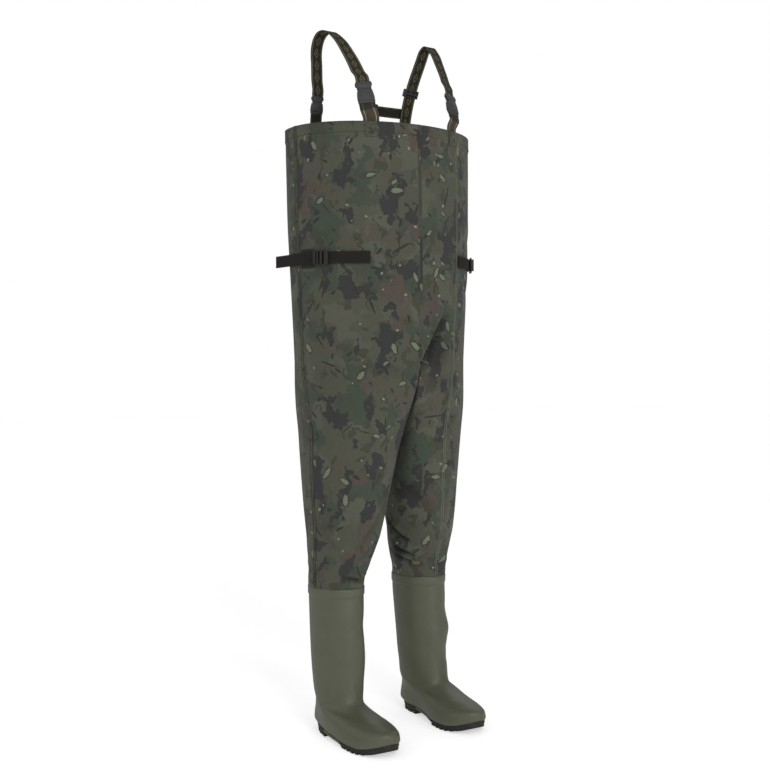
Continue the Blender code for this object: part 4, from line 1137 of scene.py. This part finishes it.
def seam_path(cloth, normals, side, index, last):
    """The line of one column of the cloth, with its way round and its way out."""
    rings = cloth.rings[side][:last]
    ids = [ring[index] for ring in rings]
    beside = [ring[index + 1] for ring in rings]
    path = cloth.points[ids]
    return path, unit(cloth.points[beside] - path), normals[ids]


def seams(cloth, normals):
    """Raised felled seams down both sides, the front and back centre seams, the hem and their stitches."""
    runs = []
    left_rings = cloth.rings[LEFT]
    bib_rings = next(i for i, ring in enumerate(left_rings) if len(ring) > cloth.last + 1)
    heights = [cloth.points[ring[cloth.seam]][2] for ring in left_rings]
    collar = next(i for i, z in enumerate(heights) if z < TUCK_Z + SEAM_END)
    for side, word in SIDES:
        path, way, out = seam_path(cloth, normals, side, cloth.seam, collar)
        seam_band("side_seam_" + word, path + out * SIDE_SEAM_LIFT, way, SIDE_SEAM_WIDE, SIDE_SEAM_THICK,
                  SIDE_PRINT[side])
        for number, offset in enumerate(SIDE_LINES):
            line = path + way * offset + out * SIDE_LINE_LIFT
            seam_line("side_seam_line_%s_%d" % (word, number + 1), line, way, SIDE_LINE_WIDE)
            runs.append((line + out * STITCH_LIFT, out))
    ridge = int(np.argmin(np.abs(cloth.half - RIDGE_ANGLE)))
    path, way, out = seam_path(cloth, normals, LEFT, ridge, collar)
    for number, offset in enumerate(RIDGE_LINES):
        line = path + way * offset + out * RIDGE_LIFT
        seam_line("front_ridge_line_%d" % (number + 1), line, way, RIDGE_WIDE, SEAM_PALE)
    for word, index in (("front", 0), ("back", cloth.last)):
        ids = [ring[index] for ring in left_rings[:bib_rings + 1]]
        path = cloth.points[ids]
        out = normals[ids]
        seam_band("centre_seam_" + word, path + out * CENTRE_LIFT, ACROSS, CENTRE_WIDE, CENTRE_THICK,
                  CENTRE_PRINT)
        line = path + ACROSS * CENTRE_LINE + out * CENTRE_LINE_LIFT
        seam_line("centre_seam_line_" + word, line, ACROSS, CENTRE_LINE_WIDE)
        runs.append((path - ACROSS * CENTRE_LINE + out * CENTRE_STITCH_LIFT, out))
    drops = [abs(RIM_FRONT - cloth.points[ring[0]][2] - HEM_STITCH_DROP) for ring in left_rings]
    hem = int(np.argmin(drops))
    loop = left_rings[hem] + cloth.rings[RIGHT][hem][-2:0:-1] + left_rings[hem][:1]
    runs.append((cloth.points[loop] + normals[loop] * HEM_STITCH_LIFT, normals[loop]))
    for side in (RIGHT, LEFT):
        runs.extend(box_stitch(side))
    stitches("body_stitches", runs)


# Boots and soles


def fullness(share):
    return LAST.at("fullness", share)


def sole_value(name, distance):
    return np.interp(distance, SOLE.column["along"], SOLE.column[name])


def sole_top(distance):
    return SOLE.at("top", np.clip(distance, 0, SOLE_LENGTH))


def foot_line(distance, side):
    """How far the foot's middle line lies towards the other foot; both feet turn a little to the left."""
    swing = INFLARE * ease((distance / SOLE_LENGTH - INFLARE_START) / INFLARE_SPAN)
    bow = ARCH_BOW * np.exp(-((distance - ARCH_MIDDLE) / ARCH_SPAN) ** 2)
    return swing - bow - side * FOOT_TURN * (distance - TURN_PIVOT)


def to_world(outward, distance, z, side):
    """From the boot's own sizes to the shared frame."""
    x = side * (HEEL_X + outward)
    y = HEEL_BACK_Y - distance + side * STAGGER
    return np.stack(np.broadcast_arrays(x, y, z), axis=-1)


def boot_levels(rows):
    """Every column of the boot's rows at close steps up the boot."""
    where = (lengths(rows[:, :2]) + lengths(rows[:, 2:4])) / 2
    fine = [where[:1]]
    for low, high in zip(where, where[1:]):
        steps = max(BOOT_LEAST_STEPS, math.ceil((high - low) / BOOT_STEP))
        fine.append(np.linspace(low, high, steps + 1)[1:])
    fine = np.concatenate(fine)
    return {name: smooth(fine, where, rows[:, i])[:, None] for i, name in enumerate(BOOT.names)}


def boot_face(rows, plain, side):
    """A face of the boot as a grid: levels up the boot by points round it."""
    value = boot_levels(rows)
    turn = np.linspace(-1, 1, BOOT_ROUND, endpoint=False)[None, :]
    share = (1 + np.cos(np.pi * turn)) / 2
    across = np.sin(np.pi * turn) * value["half_width"] * (1 + (fullness(share) - 1) * (1 - value["oval"]))
    across = across * (1 - value["taper"] * ease((share - TAPER_START) / (1 - TAPER_START)))
    distance = value["back"] + (value["front"] - value["back"]) * share
    behind = 1 - share
    behind = behind + (behind ** 2 - behind) * value["bend"]
    straight = value["front_z"] + (value["back_z"] - value["front_z"]) * behind
    ground = sole_top(0.0) + (sole_top(SOLE_LENGTH) - sole_top(0.0)) * share
    z = straight + value["follow"] * (sole_top(distance) - ground)
    line = foot_line(distance, side) * (1 - ease((z - TURN_LOW) / (TURN_HIGH - TURN_LOW)))
    if not plain:
        spur = SPUR_OUT * np.exp(-((z - SPUR_Z) / SPUR_TALL) ** 2) * np.exp(-(across / SPUR_WIDE) ** 2)
        distance = distance - spur * (share < HEEL_SHARE)
        raised = 1 - ease((np.abs(turn) - CAP_SHARE) / CAP_EDGE)
        grow = CAP_STEP * raised * value["cap"]
        distance = distance + grow * np.cos(np.pi * turn)
        across = across + grow * np.sin(np.pi * turn)
        z = z + grow * CAP_RISE * (value["front"] < CAP_FRONT)
        for row in WAVE_ROWS:
            wave = dict(zip(WAVE_COLUMNS, row))
            if wave["side"] != side:
                continue
            away = (turn * 180 - wave["turn"]) / wave["spread"]
            push = wave["depth"] * np.exp(-away ** 2 - ((z - wave["z"]) / wave["tall"]) ** 2)
            distance = distance + push * np.cos(np.pi * turn)
            across = across + push * np.sin(np.pi * turn)
    grid = to_world(across - line + value["lean"], distance, z, side)
    grid[0, :, 2] = sole_top(HEEL_BACK_Y + side * STAGGER - grid[0, :, 1]) + GAP
    return grid


def grid_normals(grid):
    round_way = np.roll(grid, -1, axis=1) - np.roll(grid, 1, axis=1)
    up_way = np.gradient(grid, axis=0)
    return unit(np.cross(round_way, up_way))


def boot(side, word):
    outer = boot_face(BOOT.rows, False, side)
    inner = boot_face(BOOT.rows[:-COLLAR_ROWS], True, side)
    inner = inner - grid_normals(inner) * BOOT_WALL * side
    inner[0, :, 2] = sole_top(HEEL_BACK_Y + side * STAGGER - inner[0, :, 1]) + GAP
    rim = inner[-1].copy()
    rim[:, 2] = outer[-1, :, 2]
    rows = np.concatenate([outer, rim[None], inner[::-1]])
    numbers = np.arange(rows.shape[0] * rows.shape[1]).reshape(rows.shape[:2])
    faces = grid_faces(np.concatenate([numbers, numbers[:1]]))
    piece("boot_shell_" + word, rows.reshape(-1, 3), faces, BOOT_PVC, ["boot_" + word],
          sharp=BOOT_SHARP)


def bottom_outline(grow):
    """Distance along the foot and half width of the boot's lower edge, grown outwards."""
    low = dict(zip(BOOT.names, BOOT.rows[0]))
    turn = np.linspace(*OUTLINE_SPAN, OUTLINE_STEPS)
    share = (1 - np.cos(np.pi * turn)) / 2
    half = np.sin(np.pi * turn) * low["half_width"] * fullness(share)
    distance = low["back"] + (low["front"] - low["back"]) * share
    return distance - grow * np.cos(np.pi * turn), half + grow * np.sin(np.pi * turn)


def slot_depth(distance):
    """Depth of the tread slots, with soft walls."""
    depth = np.zeros_like(distance)
    for middle in HEEL_SLOTS + FORE_SLOTS:
        away = np.abs(distance - middle) / LUG_SLOT
        depth = np.maximum(depth, LUG_DEPTH * (1 - ease((away - SLOT_FLAT) / SLOT_WALL)))
    return depth


def foot_grid(stations, sections, side):
    """Points along the foot by points round a section; sections are pairs of outward place and height."""
    line = -foot_line(stations, side)
    return np.stack([to_world(line + across, stations, z, side) for across, z in sections], axis=1)


def outsole(side, word):
    """The slotted tread, with its raised waist in the boot's PVC."""
    places, halves = bottom_outline(SOLE_OVERHANG)
    walls = [middle + share * LUG_SLOT for middle in HEEL_SLOTS + FORE_SLOTS for share in SLOT_SHARES]
    stations = np.concatenate([places[::2], walls, WAIST_ENDS])
    stations = np.unique(np.round(stations[(stations >= places[0]) & (stations <= places[-1])], 5))
    half = np.interp(stations, places, halves)
    top = sole_top(stations)
    bottom = sole_value("bottom", np.clip(stations, 0, SOLE_LENGTH)) + slot_depth(stations)
    waist = sole_value("waist", stations)
    ledge = top - SOLE_LEDGE
    step = np.minimum(SOLE_STEP, half * 0.3)
    draft = np.minimum(SOLE_DRAFT, half * 0.4)
    edge = np.minimum(SOLE_EDGE, half * 0.2)

    def profile(inset, lift):
        low = np.minimum(bottom + lift * waist, ledge - SOLE_LEAST)
        wall = half - inset * waist
        return ((half - edge, top), (half, top - edge), (half, ledge + edge), (half - edge, ledge),
                (wall - step, ledge - SOLE_ROUND), (wall - draft, low + edge), (wall - draft - edge, low))

    inner = [(-across, z) for across, z in reversed(profile(WAIST_INSET, WAIST_LIFT_INNER))]
    sections = list(profile(0.0, WAIST_LIFT_OUTER)) + inner
    grid = foot_grid(stations, sections, side)
    rows, count = grid.shape[:2]
    made = piece("tread_" + word, grid.reshape(-1, 3), tube_faces(rows, count), SOLE_RUBBER,
                 ["outsole_" + word], sharp=SOLE_SHARP)
    made.data.materials.append(BOOT_PVC)
    is_waist = np.repeat((waist[:-1] > 0.5) & (waist[1:] > 0.5), count)
    made.data.polygons.foreach_set("material_index", np.append(is_waist, (False, False)).astype(np.int32))


def insole(side, word):
    places, halves = bottom_outline(-INSOLE_INSET)
    keep = np.flatnonzero((halves > INSOLE_LEAST) & (np.gradient(places) > 0))[::INSOLE_SKIP]
    places = places[keep]
    low = sole_top(places) + INSOLE_LIFT
    high = low + INSOLE_THICK
    wide = halves[keep]
    narrow = wide - INSOLE_SOFT
    profile = ((narrow, low), (wide, low + INSOLE_SOFT), (wide, high - INSOLE_SOFT), (narrow, high))
    sections = list(profile) + [(-across, z) for across, z in reversed(profile)]
    grid = foot_grid(places, sections, side)
    faces = tube_faces(*grid.shape[:2])
    piece("felt_insole_" + word, grid.reshape(-1, 3), faces, INSOLE_FELT, ["insole_" + word],
          sharp=INSOLE_SHARP)


# Moulded clips and sliders

CORNER_STEPS = 5
CORNER_SHARE = 0.45
HOLE_SOFT = 0.001
BEVEL_STEPS = 2
MOULDED_SHARP = 35
WELD = 1e-6
SPOT_TURN = 0.5
TAB_STEPS = 40
POST_STEPS = 24
BRIDGE_STEPS = 50
WAIST_STEPS = 60
TAIL_STEPS = 20
PATCH_STEPS = 20


def rounded(corners, radius):
    """An outline with each corner replaced by an arc."""
    corners = np.array(corners, float)
    made = []
    for i, corner in enumerate(corners):
        to_last = corners[i - 1] - corner
        to_next = corners[(i + 1) % len(corners)] - corner
        reach = min(radius, CORNER_SHARE * np.linalg.norm(to_last), CORNER_SHARE * np.linalg.norm(to_next))
        first = corner + unit(to_last) * reach
        second = corner + unit(to_next) * reach
        for t in np.linspace(0, 1, CORNER_STEPS):
            made.append((1 - t) ** 2 * first + 2 * t * (1 - t) * corner + t ** 2 * second)
    return made


def plate(outline, thick, bevel, level=0.0, holes=()):
    """A moulded flat part: an outline with holes, given a thickness about a level and soft edges."""
    shape = bpy.data.curves.new("plate", "CURVE")
    shape.dimensions = "2D"
    shape.fill_mode = "BOTH"
    shape.extrude = thick / 2 - bevel
    shape.bevel_depth = bevel
    shape.bevel_resolution = BEVEL_STEPS
    shape.offset = -bevel
    for loop in (outline, *holes):
        spline = shape.splines.new("POLY")
        spline.points.add(len(loop) - 1)
        spline.points.foreach_set("co", [float(v) for x, y in loop for v in (x, y, 0, 1)])
        spline.use_cyclic_u = True
    helper = bpy.data.objects.new("plate", shape)
    bpy.context.scene.collection.objects.link(helper)
    graph = bpy.context.evaluated_depsgraph_get()
    mesh = bpy.data.meshes.new_from_object(helper.evaluated_get(graph))
    bpy.data.objects.remove(helper)
    bpy.data.curves.remove(shape)
    mesh.transform(Matrix.Translation((0, 0, level)))
    return mesh


def box_outline(box, radius):
    x0, x1, y0, y1 = box
    return rounded(((x0, y0), (x1, y0), (x1, y1), (x0, y1)), radius)


def box_plate(box, radius, thick, bevel, level=0.0, holes=()):
    """A moulded rectangle; boxes are x from and to, then y from and to."""
    cuts = [box_outline(hole, HOLE_SOFT) for hole in holes]
    return plate(box_outline(box, radius), thick, bevel, level, cuts)


def mirrored(rows, half, length):
    """An outline from the shares of half width and length down its one side."""
    across, up = np.array(rows, float).T * ((half,), (length,))
    return rounded(list(zip(across, up)) + list(zip(-across[::-1], up[::-1])), CLIP_SOFT)


def moulded(name, plates, foot, across, up, look, stands_for):
    """Plates fused into one piece, set with its own across, up and out ways at a foot point."""
    up = unit(up)
    across = unit(np.asarray(across, float) - up * np.dot(up, across))
    out = np.cross(across, up)
    place = Matrix([[across[i], up[i], out[i], float(foot[i])] for i in range(3)] + [[0, 0, 0, 1]])
    work = bmesh.new()
    for mesh in plates:
        mesh.transform(place)
        work.from_mesh(mesh)
        bpy.data.meshes.remove(mesh)
    bmesh.ops.remove_doubles(work, verts=work.verts, dist=WELD)
    bmesh.ops.recalc_face_normals(work, faces=work.faces)
    mesh = bpy.data.meshes.new(name)
    work.to_mesh(mesh)
    work.free()
    finished(name, mesh, look, [stands_for], sharp=MOULDED_SHARP)


def clip(prefix, foot, head, across, half, thick):
    """Both halves of a fastened side-release clip, with a raised pad on the socket."""
    up = head - foot
    length = float(np.linalg.norm(up))
    for word, node, parts in CLIP_PARTS:
        plates = [plate(mirrored(rows, half, length), share * thick, bevel) for rows, share, bevel in parts]
        if word == "socket":
            pad = np.array(PAD_BOX) * (half, half, length, length)
            plates.append(box_plate(pad, PAD_SOFT, PAD_THICK, PAD_BEVEL, thick / 2))
        moulded(prefix + "_" + word, plates, foot, across, up, CLIP_PLASTIC, prefix + "_" + node)


def bib_spot(angle, z, side, lift):
    """A point on the bib, its way round and its way out, lifted off the cloth."""
    angles = angle + SPOT_TURN * np.array((-1, 0, 1))
    x, y = bib_xy(angles, np.full(3, z), side, 0.0)
    before, spot, after = np.stack([x, y, np.full(3, z)], axis=1)
    way = unit(after - before)
    out = unit(np.cross(way, UP) * side)
    if np.dot(out[:2], spot[:2] - (0, BODY_Y)) < 0:
        out = -out
    return spot + out * lift, way, out


def beyond(end, other, distance):
    """A point on the line of a clip, past its end."""
    return end + unit(end - other) * distance


def strap_line(side):
    """The path of a shoulder strap from back to front and the direction of its width."""
    rows = LEFT_STRAP_ROWS if side == LEFT else RIGHT_STRAP_ROWS
    path = curve([placed(row) for row in rows], STRAP_KNOTS)
    foot = placed(FRONT_CLIP_FOOT, side)
    head = placed(FRONT_CLIP_TOP, side)
    path[-2:] = [beyond(head, foot, distance) for distance in (WEB_STRAIGHT, WEB_CLEAR)]
    if side == RIGHT:
        foot = placed(BACK_CLIP_FOOT)
        head = placed(BACK_CLIP_TOP)
        path[:2] = [beyond(head, foot, distance) for distance in (WEB_CLEAR, WEB_STRAIGHT)]
    share = ease((np.linspace(0, 1, STRAP_STEPS) - STRAP_TURN_START) / (1 - STRAP_TURN_START))[:, None]
    front_way = bib_spot(FRONT_TAB_ANGLE, RIM_FRONT, side, 0.0)[1] * side
    across = np.array((1, -STRAP_TWIST * side, 0)) * (1 - share) + front_way * share
    return curve(path, STRAP_STEPS), across


def tab_path(knots, foot, head):
    """From the knots of a sewn tab up to the foot of its clip."""
    ends = [beyond(foot, head, distance) for distance in (WEB_STRAIGHT, WEB_CLEAR)]
    return curve([*knots, *ends], TAB_STEPS)


def shoulder_straps():
    for side, word in SIDES:
        low = bib_spot(FRONT_TAB_ANGLE, RIM_FRONT - TAB_DEPTH, side, -TAB_INSET)[0]
        rim, way = bib_spot(FRONT_TAB_ANGLE, RIM_FRONT, side, -TAB_INSET)[:2]
        foot = placed(FRONT_CLIP_FOOT, side)
        head = placed(FRONT_CLIP_TOP, side)
        tab = tab_path((low, rim, rim + UP * FRONT_TAB_RISE), foot, head)
        ribbon("tab_band_front_" + word, tab, way, TAB_WIDTH, TAB_WEB, ["front_tab_" + word])
        ribbon("tab_fold_front_" + word, tab[-TAB_FOLD_STEPS:], way, TAB_FOLD_WIDTH, FOLD_WEB,
               thick=2 * WEB_THICK)
        clip("front_clip_" + word, foot, head, way * side, CLIP_HALF, CLIP_THICK)
        path, across = strap_line(side)
        ribbon("shoulder_band_" + word, path, across, STRAP_WIDTH, STRAP_WEB, ["strap_" + word])
    foot = placed(BACK_CLIP_FOOT)
    head = placed(BACK_CLIP_TOP)
    heights = (RIM_BACK - TAB_DEPTH, RIM_BACK + BACK_TAB_RISE)
    knots = [placed((BACK_TAB_X, BACK_TAB_Y, z), RIGHT) for z in heights]
    ribbon("tab_band_back_right", tab_path(knots, foot, head), BACK_WAY, STRAP_WIDTH, BAND_WEB,
           ["back_tab_right"])
    clip("back_clip_right", foot, head, BACK_WAY, BACK_CLIP_HALF, BACK_CLIP_THICK)


def back_fittings():
    path, across = strap_line(LEFT)
    step = int(np.argmin(np.abs(path[:STRAP_STEPS // 2, 2] - SLIDER_Z)))
    plates = [box_plate(*row) for row in STRAP_SLIDER_PLATES]
    moulded("strap_slider_left", plates, path[step], across[step], path[step + 1] - path[step - 1],
            SLIDER_PLASTIC, "back_slider_left")
    post = [placed((POST_X, POST_Y, z)) for z in np.linspace(RIM_BACK - TAB_DEPTH, POST_TOP, POST_STEPS)]
    ribbon("bridge_tab_band", post, ACROSS, POST_WIDTH, BAND_WEB, ["bridge_tab"])
    bridge = curve([placed((x, y, BRIDGE_Z)) for x, y in BRIDGE_ROWS], BRIDGE_STEPS)
    ribbon("bridge_band", bridge, UP, BRIDGE_WIDTH, BAND_WEB, ["back_bridge"])


def waist_straps():
    splay = math.radians(WAIST_TAIL_SPLAY)
    for side, word in SIDES:
        def round_bib(first, last, count, lift):
            return [bib_spot(angle, WAIST_Z, side, lift)[0] for angle in np.linspace(first, last, count)]

        path = round_bib(WAIST_START_ANGLE, WAIST_LEAVE_ANGLE, WAIST_STEPS, WAIST_LIFT)
        tail = np.array((side * math.sin(splay), math.cos(splay), 0)) * WAIST_TAIL
        path += [path[-1] + tail * share for share in np.linspace(0, 1, TAIL_STEPS)[1:]]
        ribbon("cinch_band_" + word, path, UP, WAIST_WIDTH, WAIST_WEB, ["waist_strap_" + word])
        patch = round_bib(*PATCH_ANGLES, PATCH_STEPS, PATCH_LIFT)
        ribbon("cinch_patch_" + word, patch, UP, PATCH_HEIGHT, PATCH_WEB, ["waist_patch_" + word],
               PATCH_THICK)
        middle, way, out = bib_spot(SLIDER_ANGLE, WAIST_Z, side, SLIDER_LIFT)
        flip = 1 if np.dot(np.cross(way, UP), out) > 0 else -1
        plates = [box_plate(*row) for row in WAIST_SLIDER_PLATES]
        moulded("cinch_slider_" + word, plates, middle, way * flip, UP, SLIDER_PLASTIC,
                "waist_slider_" + word)


# The stage

FLOOR_REACH = 14.0
FLOOR_GREY = (0.80, 0.80, 0.80, 1.0)
FLOOR_GLOW = 0.52
WHITE = (1.0, 1.0, 1.0, 1.0)

# How the room dims: from and to a height or a share to one side, then the strength at either end
OVERHEAD_DIM = (0.42, 0.80, 1.00, 0.48)
ASIDE_DIM = (0.20, 0.80, 1.00, 0.42)
REFLECTED_DIM = (0.10, 0.45, 0.15, 1.10)
ASIDE_WAY = (0.853, -0.522, 0.0)

# Soft lamps: name, place, aim, size, power
LAMP_ROWS = (
    ("key", (-0.6, -3.2, 2.4), (0.0, 0.0, 0.6), (1.20, 1.8), 36.0),
    ("strip", (1.08, -2.85, 0.9), (0.0, 0.0, 0.5), (0.28, 1.6), 13.0),
)
CAMERA_PLACE = (-1.4316, -2.3362 + BODY_Y, 0.88)
CAMERA_AZIMUTH = -31.5
IMAGE_SIDE = 770
FOCAL_PIXELS = 1113.0
AXIS_PIXEL = (378.1, 360.5)
SENSOR = 36.0


def stage():
    """A plain pale floor that glows a little, but not in reflections."""
    mesh = bpy.data.meshes.new("floor")
    corners = [(x * FLOOR_REACH, y * FLOOR_REACH, 0) for x, y in ((-1, -1), (1, -1), (1, 1), (-1, 1))]
    mesh.from_pydata(corners, [], [(0, 1, 2, 3)])
    look = Look("floor_white", 0.9, Specular_IOR_Level=0.1, Base_Color=FLOOR_GREY, Emission_Color=WHITE)
    glossy = look.node("LightPath", {}).outputs["Is Glossy Ray"]
    look.to("Emission Strength", look.times(look.opposite(glossy), FLOOR_GLOW))
    mesh.materials.append(look.material)
    floor = bpy.data.objects.new("floor", mesh)
    bpy.context.scene.collection.objects.link(floor)


def lamp(name, place, aim, size, power):
    data = bpy.data.lights.new(name, "AREA")
    data.shape = "RECTANGLE"
    data.size = size[0]
    data.size_y = size[1]
    data.energy = power
    made = bpy.data.objects.new(name, data)
    made.location = place
    x, y, z = np.array(aim) - np.array(place)
    made.rotation_euler = (math.atan2(math.hypot(x, y), -z), 0, math.atan2(y, x) - math.pi / 2)
    bpy.context.scene.collection.objects.link(made)


def lights():
    """A white room that is dimmer overhead and to the wearer's left, dull in reflections, and two lamps."""
    world = bpy.data.worlds.new("studio")
    bpy.context.scene.world = world
    world.use_nodes = True
    sky = Nodes(world.node_tree)
    way = sky.node("TexCoord", {}).outputs["Generated"]
    ray = sky.node("LightPath", {}).outputs
    height = sky.parts(way)["Z"]
    aside = sky.node("VectorMath", {0: way, 1: ASIDE_WAY}, operation="DOT_PRODUCT").outputs["Value"]
    room = sky.times(sky.ramp(height, *OVERHEAD_DIM), sky.ramp(aside, *ASIDE_DIM))
    dull = sky.times(room, sky.ramp(height, *REFLECTED_DIM))
    lit = sky.node("Mix", {0: ray["Is Glossy Ray"], 2: room, 3: dull}).outputs[0]
    seen = sky.node("Mix", {0: ray["Is Camera Ray"], 2: lit, 3: 1.0}).outputs[0]
    back = sky.tree.nodes["Background"]
    back.inputs["Color"].default_value = WHITE
    sky.tree.links.new(seen, back.inputs["Strength"])
    for row in LAMP_ROWS:
        lamp(*row)
    bpy.context.scene.view_settings.view_transform = "Standard"


def camera():
    data = bpy.data.cameras.new("camera")
    data.sensor_width = SENSOR
    data.lens = FOCAL_PIXELS / IMAGE_SIDE * SENSOR
    data.shift_x = (IMAGE_SIDE / 2 - AXIS_PIXEL[0]) / IMAGE_SIDE
    data.shift_y = (AXIS_PIXEL[1] - IMAGE_SIDE / 2) / IMAGE_SIDE
    made = bpy.data.objects.new("camera", data)
    made.location = CAMERA_PLACE
    made.rotation_euler = (math.pi / 2, 0, math.radians(CAMERA_AZIMUTH))
    bpy.context.scene.collection.objects.link(made)
    bpy.context.scene.camera = made


camera()
lights()
stage()
body, body_normals = cloth_body()
seams(body, body_normals)
for foot_side, foot_word in SIDES:
    boot(foot_side, foot_word)
    outsole(foot_side, foot_word)
    insole(foot_side, foot_word)
shoulder_straps()
back_fittings()
waist_straps()
